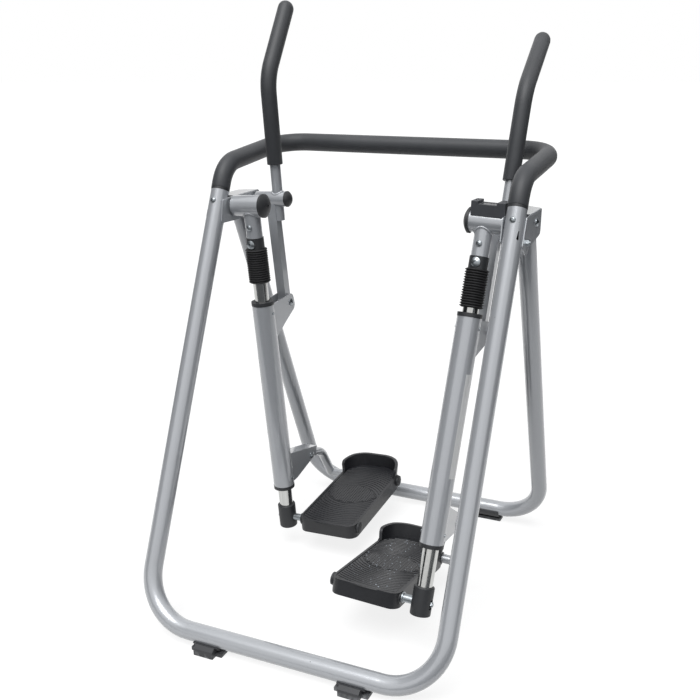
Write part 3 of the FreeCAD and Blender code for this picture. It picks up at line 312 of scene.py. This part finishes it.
def saddle_bead(name, branch_radius, housing_radius, upward, place, body):
    """A rippled bead round a tube that stands square on a wider tube along X."""
    ripples = int(2 * math.pi * branch_radius / BEAD_RIPPLE)
    deselect_all()
    bpy.ops.mesh.primitive_torus_add(major_segments=ripples * 4, minor_segments=8,
                                     major_radius=branch_radius, minor_radius=BEAD_RADIUS)
    bead = bpy.context.object
    bead.name = name
    for vertex in bead.data.vertices:
        around = math.atan2(vertex.co.y, vertex.co.x)
        swell = 1 + BEAD_SWELL * math.cos(around * ripples)
        out = Vector((math.cos(around), math.sin(around), 0)) * branch_radius
        section = (vertex.co - out) * swell
        saddle = math.sqrt(housing_radius ** 2 - out.y ** 2)
        vertex.co = out + section + Vector((0, 0, upward * saddle))
    bead.data.transform(place)
    turned_out(bead)
    bpy.ops.object.shade_smooth()
    paint(bead, enamel)
    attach(bead, body)


for side in SIDES:
    saddle_bead(side + "_stub_weld", STUB_RADIUS, LEG_HOUSING_RADIUS, -1, leg_frame(side), side + "_leg")
    saddle_bead(side + "_handle_weld", HANDLE_RADIUS, LEVER_HOUSING_RADIUS, 1, handle_frame(side),
                side + "_lever")


# Plain pale strips on the outer faces of the slide tubes, bare of any print: thin vinyl that
# wraps a little under a quarter of the way round.
def pale_vinyl():
    """Glossy cast film, nearly white, with the faint patches that hands leave on it."""
    finish, tree, shader, place = new_finish("pale_vinyl")
    mottled(tree, shader, place, 60.0, 3.0, "#EDEEEE", "#F4F5F5")
    shader.inputs["Roughness"].default_value = 0.2
    shader.inputs["Coat Weight"].default_value = 1.0
    shader.inputs["Coat Roughness"].default_value = 0.05
    return finish


STRIP_RADIUS = 0.02735
STRIP_SPREAD = math.radians(84)
STRIP_TOP = 0.330
STRIP_LONG = 0.230
STRIP_THICK = 0.0002
FINE_CREASE = math.radians(30)
# the left slide sits lower on its rod, because its leg has swung further forward
SLIDE_DOWN = {"left": 0.037, "right": 0.0}
vinyl = pale_vinyl()
for side in SIDES:
    deselect_all()
    bpy.ops.mesh.primitive_grid_add(x_subdivisions=16, y_subdivisions=2, size=1)
    strip = bpy.context.object
    strip.name = side + "_pale_strip"
    for vertex in strip.data.vertices:
        around = vertex.co.x * STRIP_SPREAD
        down = STRIP_TOP + SLIDE_DOWN[side] + (0.5 - vertex.co.y) * STRIP_LONG
        vertex.co = (STRIP_RADIUS * math.cos(around), STRIP_RADIUS * math.sin(around), -down)
    skin = strip.modifiers.new("skin", "SOLIDIFY")
    skin.thickness = STRIP_THICK
    skin.offset = 0
    apply_modifiers(strip)
    strip.data.transform(leg_frame(side))
    turned_out(strip)
    bpy.ops.object.shade_smooth_by_angle(angle=FINE_CREASE)
    paint(strip, vinyl)
    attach(strip, side + "_slide")


# Chrome leg rods: ground 36 mm tube, hard chromed. The long grinding lines run down the rod
# and break its reflections into streaks, and lighter and darker reflection streaks are painted
# into its colour along them.
def hard_chrome():
    """Polished chrome. The grinding lines are finer than a hair on the real rod, and drawn at
    about 4 mm by 250 mm, so that they still show. Its colour runs lighter and darker along the
    same lines: painted reflection streaks."""
    finish, tree, shader, place = new_finish("hard_chrome")
    drawn = add_node(tree, "ShaderNodeMapping", {}, {"Scale": (260.0, 260.0, 4.0)}, {"Vector": place})
    # painted reflection: the lighter and darker colour streaks along the rod; the grinding lines are its
    # roughness and bump
    grinding_and_painted_streaks = mottled(tree, shader, drawn.outputs["Vector"], 1.0, 3.0, "#A7A8A6", "#DADAD8")[0]
    gloss = add_node(tree, "ShaderNodeMapRange", {}, {"To Min": 0.06, "To Max": 0.22}, {"Value": grinding_and_painted_streaks})
    lines = add_node(tree, "ShaderNodeBump", {}, {"Strength": 0.12, "Distance": 0.0003}, {"Height": grinding_and_painted_streaks})
    tree.links.new(gloss.outputs["Result"], shader.inputs["Roughness"])
    tree.links.new(lines.outputs["Normal"], shader.inputs["Normal"])
    shader.inputs["Metallic"].default_value = 1.0
    return finish


paint_nodes(hard_chrome(), (), ("leg_rod",))


# Black mouldings: end caps, rod shoes, sliding bushings, boot sleeves, pedal bosses and the
# feet. They are injection-moulded nylon, pushed or clipped on, and dusty in soft patches.
def moulded(name, low_colour, high_colour, patches, grain, relief, roughness):
    """Moulded plastic: patches of dust and rubbing, given by their scale and detail, over a fine
    grain of the mould, given by its scale. The real grain of 0.2 mm is drawn at 1 to 1.7 mm, so
    that it still shows."""
    finish, tree, shader, place = new_finish(name)
    tint = mottled(tree, shader, place, patches[0], patches[1], low_colour, high_colour)[1]
    skin = add_node(tree, "ShaderNodeTexNoise", {}, {"Scale": grain, "Detail": 2.0}, {"Vector": place})
    bump = add_node(tree, "ShaderNodeBump", {}, {"Strength": relief, "Distance": 0.0002},
                    {"Height": skin.outputs["Fac"]})
    tree.links.new(bump.outputs["Normal"], shader.inputs["Normal"])
    shader.inputs["Roughness"].default_value = roughness
    return finish, tree, shader, place, tint


def black_nylon(name, low_colour, high_colour):
    """Nylon from a spark-eroded mould: matt, and dusty in patches of about 45 mm."""
    return moulded(name, low_colour, high_colour, (22.0, 4.0), 900.0, 0.18, 0.5)


def scuffed_nylon():
    """The feet's nylon: greyer, and rubbed pale in patches close to the floor."""
    finish, tree, shader, place, tint = black_nylon("scuffed_black_nylon", "#2F3033", "#424346")
    height = add_node(tree, "ShaderNodeSeparateXYZ", {}, {}, {"Vector": place})
    low_down = add_node(tree, "ShaderNodeMapRange", {},
                        {"From Min": 0.004, "From Max": 0.013, "To Min": 1.0, "To Max": 0.0},
                        {"Value": height.outputs["Z"]})
    rub = add_node(tree, "ShaderNodeTexNoise", {}, {"Scale": 55.0, "Detail": 3.0}, {"Vector": place})
    patch = add_node(tree, "ShaderNodeMapRange", {},
                     {"From Min": 0.42, "From Max": 0.6, "To Min": 0.0, "To Max": 0.8},
                     {"Value": rub.outputs["Fac"]})
    worn = add_node(tree, "ShaderNodeMath", {"operation": "MULTIPLY"}, {},
                    {0: low_down.outputs["Result"], 1: patch.outputs["Result"]})
    pale = add_node(tree, "ShaderNodeMix", {"data_type": "RGBA"},
                    {7: linear("#9A9C9E")}, {6: tint, 0: worn.outputs["Value"]})
    tree.links.new(pale.outputs[2], shader.inputs["Base Color"])
    return finish


nylon = black_nylon("moulded_black_nylon", "#282A2C", "#3A3B3E")[0]
paint_nodes(nylon, ("handlebar_rings",),
            ("slide_bushings", "boot_sleeve", "leg_pivot_bushes", "lever_bushes", "leg_pivot_cap",
             "lever_cap", "rod_shoe", "pedal_fittings"))
MOULDED_EDGE = 0.0024
foot_nylon = scuffed_nylon()
for name in ("main_feet", "front_feet"):
    dressed(name, MOULDED_EDGE, 3, foot_nylon)


# Ribbed boots: black rubber bellows round the top of each leg rod, with fifteen rounded ribs
# and a plain rim at each end. One rib is shaped and repeated down the rod.
def boot_rubber():
    """Moulded rubber, matt black, with the grey bloom of outdoor rubber in 17 mm patches."""
    finish, tree, shader, place = new_finish("boot_rubber")
    bloom = mottled(tree, shader, place, 60.0, 5.0, "#1E1E1F", "#303032")[0]
    relief = add_node(tree, "ShaderNodeBump", {}, {"Strength": 0.15, "Distance": 0.0002}, {"Height": bloom})
    tree.links.new(relief.outputs["Normal"], shader.inputs["Normal"])
    shader.inputs["Roughness"].default_value = 0.62
    return finish


rubber = boot_rubber()
BOOT_TOP = 0.103
BOOT_LENGTH = 0.084
RIBS = 15
ROOT_RADIUS = 0.0220
BORE_RADIUS = 0.0181
RIB_PITCH = BOOT_LENGTH / RIBS
RIB_JOIN = 0.00002
# share of the pitch and radius at each ring of one rib
RIB_RINGS = ((0.10, 0.0228), (0.26, 0.0257), (0.38, 0.0266), (0.52, 0.0266), (0.64, 0.0257),
             (0.80, 0.0228), (1.0, ROOT_RADIUS))

for side in SIDES:
    deselect_all()
    bpy.ops.mesh.primitive_circle_add(vertices=48, radius=ROOT_RADIUS, location=(0, 0, -BOOT_TOP))
    boot = bpy.context.object
    boot.name = side + "_rubber_boot"
    bpy.ops.object.transform_apply(location=True)
    bpy.ops.object.mode_set(mode="EDIT")
    last_share, last_radius = 0.0, ROOT_RADIUS
    for share, radius in RIB_RINGS:
        drop = (share - last_share) * RIB_PITCH
        bpy.ops.mesh.extrude_region_move(TRANSFORM_OT_translate={"value": (0, 0, -drop)})
        grow = radius / last_radius
        bpy.ops.transform.resize(value=(grow, grow, 1), center_override=(0, 0, 0))
        last_share, last_radius = share, radius
    bpy.ops.object.mode_set(mode="OBJECT")
    ribs = boot.modifiers.new("ribs", "ARRAY")
    ribs.count = RIBS
    ribs.use_relative_offset = False
    ribs.use_constant_offset = True
    ribs.constant_offset_displace = (0, 0, -RIB_PITCH)
    ribs.use_merge_vertices = True
    ribs.merge_threshold = RIB_JOIN
    apply_modifiers(boot)
    turned_out(boot)
    wall = boot.modifiers.new("wall", "SOLIDIFY")
    wall.thickness = ROOT_RADIUS - BORE_RADIUS
    wall.offset = -1
    apply_modifiers(boot)
    for vertex in boot.data.vertices:
        across = Vector((vertex.co.x, vertex.co.y, 0))
        if across.length < BORE_RADIUS:
            vertex.co += across.normalized() * (BORE_RADIUS - across.length)
    boot.data.transform(leg_frame(side))
    if side == "left":
        # the mirrored boot has come out inside out
        turned_out(boot)
    bpy.ops.object.shade_smooth_by_angle(angle=CREASE)
    paint(boot, rubber)
    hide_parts(side + "_ribbed_boot")
    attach(boot, side + "_leg")


# Foam on the handlebar and on both handles: closed-cell foam tube pushed on with air, so it
# is smooth and matt, charcoal grey, with pores too fine to see and a soft sheen at its edge.
def charcoal_foam():
    """Moulded foam with a closed skin. Its pores of 0.3 mm are drawn at about 1.2 mm, so that
    they still show, and hands have rubbed it paler in 70 mm patches."""
    finish, tree, shader, place = new_finish("charcoal_foam")
    mottled(tree, shader, place, 14.0, 4.0, "#3A3C3F", "#484A4E")
    pores = add_node(tree, "ShaderNodeTexVoronoi", {}, {"Scale": 820.0}, {"Vector": place})
    relief = add_node(tree, "ShaderNodeBump", {}, {"Strength": 0.35, "Distance": 0.0003},
                      {"Height": pores.outputs["Distance"]})
    tree.links.new(relief.outputs["Normal"], shader.inputs["Normal"])
    shader.inputs["Roughness"].default_value = 0.52
    shader.inputs["Sheen Weight"].default_value = 0.12
    shader.inputs["Sheen Roughness"].default_value = 0.5
    return finish


foam = charcoal_foam()
FOAM_SIDES = 40
BEND_STEPS = 10
DOME_STEPS = 6
# the last ring of a dome before its points meet, as a share of the tube's radius
DOME_TIP = 0.02
RIM_RADIUS = 0.0015
RIM_SHARE = 0.45
RIM_ANGLE = math.radians(60)


def foam_sleeve(name, points, bend_radii, radius, domed):
    """A ring drawn along straight runs and spun round each bend, its far end open or domed."""
    points = [Vector(p) for p in points]
    first = (points[1] - points[0]).normalized()
    deselect_all()
    bpy.ops.mesh.primitive_circle_add(vertices=FOAM_SIDES, radius=radius)
    sleeve = bpy.context.object
    sleeve.name = name
    sleeve.data.transform(Matrix.Translation(points[0]) @ first.to_track_quat("Z", "Y").to_matrix().to_4x4())
    bpy.ops.object.mode_set(mode="EDIT")
    here = points[0]
    for before, corner, after, bend in zip(points, points[1:], points[2:], bend_radii):
        back = (before - corner).normalized()
        ahead = (after - corner).normalized()
        half = back.angle(ahead) / 2
        start = corner + back * bend / math.tan(half)
        centre = corner + (back + ahead).normalized() * bend / math.sin(half)
        axis = ahead.cross(back).normalized()
        bpy.ops.mesh.extrude_region_move(TRANSFORM_OT_translate={"value": start - here})
        bpy.ops.mesh.spin(steps=BEND_STEPS, angle=2 * half - math.pi, center=centre, axis=axis)
        here = corner + ahead * bend / math.tan(half)
    last = (points[-1] - points[-2]).normalized()
    end = points[-1]
    bpy.ops.mesh.extrude_region_move(TRANSFORM_OT_translate={"value": end - here})
    if domed:
        turn = last.to_track_quat("Z", "Y").to_matrix()
        last_lift, last_width = 0.0, 1.0
        for step in range(1, DOME_STEPS + 1):
            rise = math.radians(90 * step / DOME_STEPS)
            lift = radius * math.sin(rise)
            width = max(math.cos(rise), DOME_TIP)
            ratio = width / last_width
            bpy.ops.mesh.extrude_region_move(TRANSFORM_OT_translate={"value": last * (lift - last_lift)})
            bpy.ops.transform.resize(value=(ratio, ratio, 1), orient_type="GLOBAL", orient_matrix=turn,
                                     orient_matrix_type="GLOBAL", center_override=end + last * lift)
            last_lift, last_width = lift, width
        bpy.ops.mesh.merge(type="CENTER")
    bpy.ops.object.mode_set(mode="OBJECT")
    turned_out(sleeve)
    return sleeve


def foam_walled(sleeve, thickness, node_name):
    """The sleeve gets its wall and softened rims, and stands for the plain solid."""
    wall = sleeve.modifiers.new("wall", "SOLIDIFY")
    wall.thickness = thickness
    wall.offset = -1
    wall.use_quality_normals = True
    rim = sleeve.modifiers.new("rim", "BEVEL")
    rim.width = min(RIM_RADIUS, thickness * RIM_SHARE)
    rim.segments = 3
    rim.limit_method = "ANGLE"
    rim.angle_limit = RIM_ANGLE
    apply_modifiers(sleeve)
    bpy.ops.object.shade_smooth_by_angle(angle=RIM_ANGLE)
    paint(sleeve, foam)
    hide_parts(node_name)
    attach(sleeve, frame["nodes"][node_name]["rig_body"])


# The handlebar's foam runs from ring to ring, over both shoulders and the front bar, and is one
# length of tube that is pushed round the bends.
UPRIGHT_TOP = Vector((0.367, 0.0089, 0.9639))
UPRIGHT_RUN = Vector((0, 0.4324, 0.9294)).normalized()
RING_THICK = 0.006
BAR_RISE = 0.066
BAR_FRONT = Vector((0.367, 0.3125, 1.056))
BAR_BENDS = (0.076, 0.078, 0.078, 0.076)
BAR_FOAM_RADIUS = 0.022
BAR_FOAM_WALL = 0.0030
half_bar = [UPRIGHT_TOP + UPRIGHT_RUN * RING_THICK, UPRIGHT_TOP + UPRIGHT_RUN * BAR_RISE, BAR_FRONT]
mirror_bar = [Vector((-p.x, p.y, p.z)) for p in half_bar]
bar_foam = foam_sleeve("handlebar_foam_sleeve", mirror_bar + half_bar[::-1], BAR_BENDS,
                       BAR_FOAM_RADIUS, False)
foam_walled(bar_foam, BAR_FOAM_WALL, "handlebar_foam")

# Each handle's foam starts a hand's breadth above its pivot and closes over the bent end.
# The right handle sits a little deeper than the left one.
HANDLE_KNEE = 0.284
HANDLE_REACH = 0.1845
HANDLE_LEAN = 0.6
HANDLE_BEND = 37.2
GRIP_START = 0.084
GRIP_BEND = 0.110
GRIP_RADIUS = 0.019
GRIP_WALL = 0.0058
HANDLE_SUNK = {"left": 0.0, "right": 0.011}
for side in SIDES:
    lean = math.radians(HANDLE_LEAN)
    bent = math.radians(HANDLE_LEAN + HANDLE_BEND)
    up = Vector((0, math.sin(lean), math.cos(lean)))
    knee = up * (HANDLE_KNEE - HANDLE_SUNK[side])
    end = knee + Vector((0, math.sin(bent), math.cos(bent))) * HANDLE_REACH
    start = up * (GRIP_START - HANDLE_SUNK[side])
    grip = foam_sleeve(side + "_foam_grip", [start, knee, end], (GRIP_BEND,), GRIP_RADIUS, True)
    grip.data.transform(handle_frame(side))
    turned_out(grip)
    foam_walled(grip, GRIP_WALL, side + "_handle_grip")


# Pedals: one deep tray of moulded plastic each, with a raised toe cup, a rounded top edge and
# a tread of fine arcs that swing away from a dimpled field under the ball of the foot.
def pedal_plastic(name, glints_on_it):
    """Moulded plastic with a soft shine, plain or with pale bluish specks of 2 to 3 mm painted on it as
    glints of light.
    """
    finish, tree, shader, place, tint = moulded(name, "#1B1C1F", "#292A2E", (30.0, 5.0), 700.0, 0.15, 0.4)
    # painted glints: pale bluish specks in the colour stand in for light glinting off the tread
    if glints_on_it:
        cells = add_node(tree, "ShaderNodeTexVoronoi", {}, {"Scale": 170.0}, {"Vector": place})
        near = add_node(tree, "ShaderNodeMapRange", {},
                        {"From Min": 0.16, "From Max": 0.24, "To Min": 1.0, "To Max": 0.0},
                        {"Value": cells.outputs["Distance"]})
        chosen = add_node(tree, "ShaderNodeMath", {"operation": "GREATER_THAN"}, {1: 0.62},
                          {0: cells.outputs["Color"]})
        painted_glint = add_node(tree, "ShaderNodeMath", {"operation": "MULTIPLY"}, {},
                       {0: near.outputs["Result"], 1: chosen.outputs["Value"]})
        glinting = add_node(tree, "ShaderNodeMix", {"data_type": "RGBA"},
                         {7: linear("#A9B2BD")}, {6: tint, 0: painted_glint.outputs["Value"]})
        tree.links.new(glinting.outputs[2], shader.inputs["Base Color"])
    return finish


PEDAL_EDGE = 0.0032
# the pedal turns back by a share of its leg's swing
PEDAL_PER_LEG = 0.3465
PEDAL_START = 2.41
TOE_REACH = 0.264
TOE_BORE = 0.0119
BORE_EASE = 0.0004
TREAD_FLOOR = 0.0135
TREAD_HALF_WIDTH = 0.0765
TREAD_MIDDLE_X = -0.1315
TREAD_HEEL = -0.020
TREAD_TOE = 0.292
HEEL_CORNER = 0.018
TOE_CORNER = 0.052
FIELD_Y = 0.135
FIELD_HALF = 0.050
ARC_RADIUS = (TREAD_HALF_WIDTH ** 2 + FIELD_HALF ** 2) / (2 * FIELD_HALF)
ARC_PITCH = 0.0088
ARC_PROBES = 60
LEAST_PROBES = 4
ARC_STEPS_PER_RADIAN = 14
LEAST_STEPS = 6
MOST_ARCS = 26
RIDGE_HALF = 0.0017
RIDGE_TOP_SHARE = 0.45
RIDGE_HEIGHT = 0.0013
RIDGE_SUNK = 0.0002


def pedal_frame(side):
    """The pedal's own frame is level, with the heel shaft at its origin."""
    return side_frame(side, "_pedal_tilt", LEG_SWING[side] * (1 - PEDAL_PER_LEG) + PEDAL_START)


def toe_bore_eased(piece, side):
    """The bore round the toe shaft a little wider, so that its facets clear the shaft at the
    end of the swing."""
    place = pedal_frame(side)
    back = place.inverted()
    for vertex in piece.data.vertices:
        spot = back @ vertex.co
        radial = Vector((0, spot.y - TOE_REACH, spot.z))
        if radial.length < TOE_BORE + BORE_EASE:
            vertex.co = place @ (spot + radial.normalized() * BORE_EASE)


def tread_inside(x, y):
    """Whether a point is on the tray's floor, clear of its rounded toe and heel corners."""
    if abs(x) > TREAD_HALF_WIDTH or not TREAD_HEEL < y < TREAD_TOE:
        return False
    toe = (TOE_CORNER, TREAD_TOE - TOE_CORNER, 1)
    heel = (HEEL_CORNER, TREAD_HEEL + HEEL_CORNER, -1)
    for corner, centre_y, forward in (toe, heel):
        dx = abs(x) - (TREAD_HALF_WIDTH - corner)
        dy = (y - centre_y) * forward
        if dx > 0 and dy > 0 and math.hypot(dx, dy) > corner:
            return False
    return True


def tread_arc(name, radius, forward):
    """One raised arc of the tread: a small ridge spun about the field's arc centre, as far as
    it stays on the tray's floor. An arc that hardly touches the floor is left out."""
    centre_y = FIELD_Y - forward * (ARC_RADIUS - FIELD_HALF)
    inside = []
    for probe in range(-ARC_PROBES, ARC_PROBES + 1):
        angle = math.pi / 2 * probe / ARC_PROBES
        x = radius * math.sin(angle)
        y = centre_y + forward * radius * math.cos(angle)
        if tread_inside(x, y):
            inside.append(angle)
    if len(inside) < LEAST_PROBES:
        return None
    low, high = min(inside), max(inside)
    deselect_all()
    bpy.ops.mesh.primitive_plane_add(size=1)
    ridge = bpy.context.object
    ridge.name = name
    section = ((-1, 0), (1, 0), (-RIDGE_TOP_SHARE, 1), (RIDGE_TOP_SHARE, 1))
    for vertex, (wide, high_share) in zip(ridge.data.vertices, section):
        y = centre_y + forward * (radius + wide * RIDGE_HALF)
        vertex.co = (0, y, TREAD_FLOOR - RIDGE_SUNK + high_share * (RIDGE_HEIGHT + RIDGE_SUNK))
    centre = Vector((0, centre_y, 0))
    to_start = Matrix.Rotation(-forward * low, 4, "Z")
    ridge.data.transform(Matrix.Translation(centre) @ to_start @ Matrix.Translation(-centre))
    bpy.ops.object.mode_set(mode="EDIT")
    bpy.ops.mesh.select_all(action="SELECT")
    steps = max(LEAST_STEPS, int((high - low) * ARC_STEPS_PER_RADIAN))
    bpy.ops.mesh.spin(steps=steps, angle=forward * (high - low), center=centre, axis=(0, 0, 1))
    bpy.ops.object.mode_set(mode="OBJECT")
    ridge.data.transform(Matrix.Translation((TREAD_MIDDLE_X, 0, 0)))
    return ridge


CELL = 0.0072
CELLS_ACROSS = 22
CELLS_ALONG = 14
FIELD_MARGIN = 0.003
FIELD_THICK = 0.0015
CELL_FRAME = 0.0018
DIMPLE_SLOPE = 0.0006
DIMPLE_DEEP = 0.0012


def dimpled_field(name):
    """The lens-shaped field: a thin plate of square cells, each inset and pressed down."""
    deselect_all()
    bpy.ops.mesh.primitive_grid_add(x_subdivisions=CELLS_ACROSS, y_subdivisions=CELLS_ALONG, size=1)
    field = bpy.context.object
    field.name = name
    for vertex in field.data.vertices:
        x = vertex.co.x * CELLS_ACROSS * CELL
        y = vertex.co.y * CELLS_ALONG * CELL + FIELD_Y
        vertex.co = (x, y, TREAD_FLOOR + RIDGE_HEIGHT)
    bpy.ops.object.mode_set(mode="EDIT")
    mesh = bmesh.from_edit_mesh(field.data)
    outside = []
    for face in mesh.faces:
        middle = face.calc_center_median()
        offset = ARC_RADIUS - FIELD_HALF
        reach = [math.hypot(middle.x, middle.y - FIELD_Y + forward * offset) for forward in (-1, 1)]
        if max(reach) > ARC_RADIUS - FIELD_MARGIN:
            outside.append(face)
    bmesh.ops.delete(mesh, geom=outside, context="FACES")
    bmesh.update_edit_mesh(field.data)
    bpy.ops.mesh.select_all(action="SELECT")
    bpy.ops.mesh.inset(thickness=CELL_FRAME, use_individual=True)
    bpy.ops.mesh.inset(thickness=DIMPLE_SLOPE, use_individual=True)
    bpy.ops.transform.translate(value=(0, 0, -DIMPLE_DEEP))
    bpy.ops.object.mode_set(mode="OBJECT")
    wall = field.modifiers.new("wall", "SOLIDIFY")
    wall.thickness = FIELD_THICK
    wall.offset = -1
    apply_modifiers(field)
    field.data.transform(Matrix.Translation((TREAD_MIDDLE_X, 0, 0)))
    return field


plain_pedal_plastic = pedal_plastic("moulded_pedal_plastic", False)
# the right tread carries the painted glints
tread_plastic = {"left": plain_pedal_plastic, "right": pedal_plastic("glinting_pedal_plastic", True)}
for side in SIDES:
    tray = dressed(side + "_pedal", PEDAL_EDGE, 3, plain_pedal_plastic)
    toe_bore_eased(tray, side)
    ridges = []
    for forward in (-1, 1):
        for ring in range(MOST_ARCS):
            ridge = tread_arc(side + "_ridge", ARC_RADIUS + ring * ARC_PITCH, forward)
            if ridge is None:
                break
            ridges.append(ridge)
    ridges.append(dimpled_field(side + "_field"))
    deselect_all()
    for ridge in ridges:
        ridge.select_set(True)
    bpy.context.view_layer.objects.active = ridges[0]
    bpy.ops.object.join()
    tread = bpy.context.object
    tread.name = side + "_pedal_tread"
    tread.data.transform(pedal_frame(side))
    turned_out(tread)
    bpy.ops.object.shade_smooth_by_angle(angle=FINE_CREASE)
    paint(tread, tread_plastic[side])
    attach(tread, side + "_pedal")


# Exercise counter: a small saddle box clipped over the right-hand pivot, with a dark strip
# let into its top and one round button.
COUNTER_EDGE = 0.0012
case_plastic = moulded("dark_grey_moulded_case", "#404246", "#505257", (35.0, 4.0), 600.0, 0.15, 0.45)[0]
dressed("counter_housing", COUNTER_EDGE, 3, case_plastic)


def gloss_strip(name, low_colour, high_colour):
    """Polished moulding with faint rubbing marks of about 4 mm."""
    finish, tree, shader, place = new_finish(name)
    rub = mottled(tree, shader, place, 240.0, 3.0, low_colour, high_colour)[0]
    gloss = add_node(tree, "ShaderNodeMapRange", {}, {"To Min": 0.12, "To Max": 0.3}, {"Value": rub})
    tree.links.new(gloss.outputs["Result"], shader.inputs["Roughness"])
    return finish


paint(frame["nodes"]["counter_window"], gloss_strip("smoked_window", "#26282B", "#34373B"))
paint(frame["nodes"]["counter_button"], gloss_strip("grey_button", "#55575B", "#66686C"))


# Ground: the machine stands on a pale sheet that runs to the horizon. Seen or mirrored, the
# sheet is white with a light shadow on it. Where the viewer stands, the ground is grey paving.
SHEET_SIZE = 60.0
SHEET_EDGE = -0.62
SHEET_GLOW = 0.84
PAVING_DROP = 0.004


def seen_directly(tree):
    """1 for the rays that show a thing to the eye, in a mirror or through glass, and 0 for the rest."""
    ray = add_node(tree, "ShaderNodeLightPath", {}, {}, {})
    mirrored = add_node(tree, "ShaderNodeMath", {"operation": "MAXIMUM"}, {},
                        {0: ray.outputs["Is Camera Ray"], 1: ray.outputs["Is Glossy Ray"]})
    seen = add_node(tree, "ShaderNodeMath", {"operation": "MAXIMUM"}, {},
                    {0: mirrored.outputs["Value"], 1: ray.outputs["Is Transmission Ray"]})
    return seen.outputs["Value"]


def matt_surface(name, low_colour, high_colour, scale):
    """A matt stage surface, between two tones."""
    finish, tree, shader, place = new_finish(name)
    mottled(tree, shader, place, scale, 2.0, low_colour, high_colour)
    shader.inputs["Specular IOR Level"].default_value = 0.0
    shader.inputs["Roughness"].default_value = 0.9
    return finish, tree, shader


def pale_sheet():
    """Grey to the light that bounces off it, and white to whoever sees it."""
    finish, tree, shader = matt_surface("pale_sheet", "#888888", "#8C8C8C", 3.0)
    glow = add_node(tree, "ShaderNodeMath", {"operation": "MULTIPLY"}, {1: SHEET_GLOW},
                    {0: seen_directly(tree)})
    tree.links.new(glow.outputs["Value"], shader.inputs["Emission Strength"])
    shader.inputs["Emission Color"].default_value = (1, 1, 1, 1)
    return finish


def stage_plane(name, middle, turn, wide, tall, finish):
    """A flat piece of the stage. It is no part of the machine."""
    deselect_all()
    bpy.ops.mesh.primitive_plane_add(size=1, location=middle, rotation=turn)
    plane = bpy.context.object
    plane.name = name
    plane.scale = (wide, tall, 1)
    bpy.ops.object.transform_apply(location=True, rotation=True, scale=True)
    paint(plane, finish)


reach = SHEET_SIZE / 2 + SHEET_EDGE
sheet_middle = (-math.sin(VIEW_HEADING) * reach, math.cos(VIEW_HEADING) * reach, 0)
stage_plane("pale_ground", sheet_middle, (0, 0, VIEW_HEADING), SHEET_SIZE, SHEET_SIZE, pale_sheet())
paving = matt_surface("grey_paving", "#5F6163", "#6C6E70", 6.0)[0]
stage_plane("paved_ground", (0, 0, -PAVING_DROP), (0, 0, VIEW_HEADING), SHEET_SIZE / 2, SHEET_SIZE / 2,
            paving)


# Screens: grey cloth stands well to each side and beyond the machine, so that the bare chrome
# and the clear coat have something dark to mirror. The eye looks through it from anywhere.
def screen_cloth(name, low_colour, high_colour):
    """Matt cloth that mirrors and lamps meet as it is, and that the eye sees through."""
    finish, tree, shader = matt_surface(name, low_colour, high_colour, 40.0)
    ray = add_node(tree, "ShaderNodeLightPath", {}, {}, {})
    clear = add_node(tree, "ShaderNodeBsdfTransparent", {}, {}, {})
    choice = add_node(tree, "ShaderNodeMixShader", {}, {},
                      {0: ray.outputs["Is Camera Ray"], 1: shader.outputs["BSDF"], 2: clear.outputs["BSDF"]})
    output = [node for node in tree.nodes if node.bl_idname == "ShaderNodeOutputMaterial"][0]
    tree.links.new(choice.outputs["Shader"], output.inputs["Surface"])
    return finish


UPRIGHT = math.radians(90)
dark_cloth = screen_cloth("dark_screen_cloth", "#4A4C4F", "#55575A")
grey_cloth = screen_cloth("grey_screen_cloth", "#7C7E81", "#888A8D")
stage_plane("left_screen", (-3.4, -2.2, 2.2), (UPRIGHT, 0, UPRIGHT), 6.4, 4.4, dark_cloth)
stage_plane("right_screen", (2.8, 1.6, 1.4), (UPRIGHT, 0, UPRIGHT), 4.8, 2.8, dark_cloth)
stage_plane("front_screen", (2.4, 3.8, 1.6), (UPRIGHT, 0, 0), 3.4, 3.2, grey_cloth)


# Light: an overcast day. The sky is a soft even light from all round, with one broad brighter
# patch high up behind the viewer. Seen or mirrored, the sky is white.
world = bpy.data.worlds.new("overcast_day")
bpy.context.scene.world = world
world.use_nodes = True
sky = world.node_tree
sky.nodes.clear()
seen = add_node(sky, "ShaderNodeBackground", {}, {"Color": (1, 1, 1, 1), "Strength": 1.0}, {})
lit = add_node(sky, "ShaderNodeBackground", {}, {"Color": (0.95, 0.975, 1, 1), "Strength": 0.27}, {})
choice = add_node(sky, "ShaderNodeMixShader", {}, {},
                  {0: seen_directly(sky), 1: lit.outputs["Background"], 2: seen.outputs["Background"]})
add_node(sky, "ShaderNodeOutputWorld", {}, {}, {"Surface": choice.outputs["Shader"]})


def bright_sky(name, toward, spread, strength):
    """A broad patch of sky in one direction: how wide it looks, in degrees, and its strength."""
    data = bpy.data.lights.new(name, "SUN")
    data.angle = math.radians(spread)
    data.energy = strength
    patch = bpy.data.objects.new(name, data)
    patch.rotation_euler = (-Vector(toward)).to_track_quat("-Z", "Y").to_euler()
    bpy.context.scene.collection.objects.link(patch)


bright_sky("high_sky", (0.04, -0.42, 0.90), 44, 2.5)
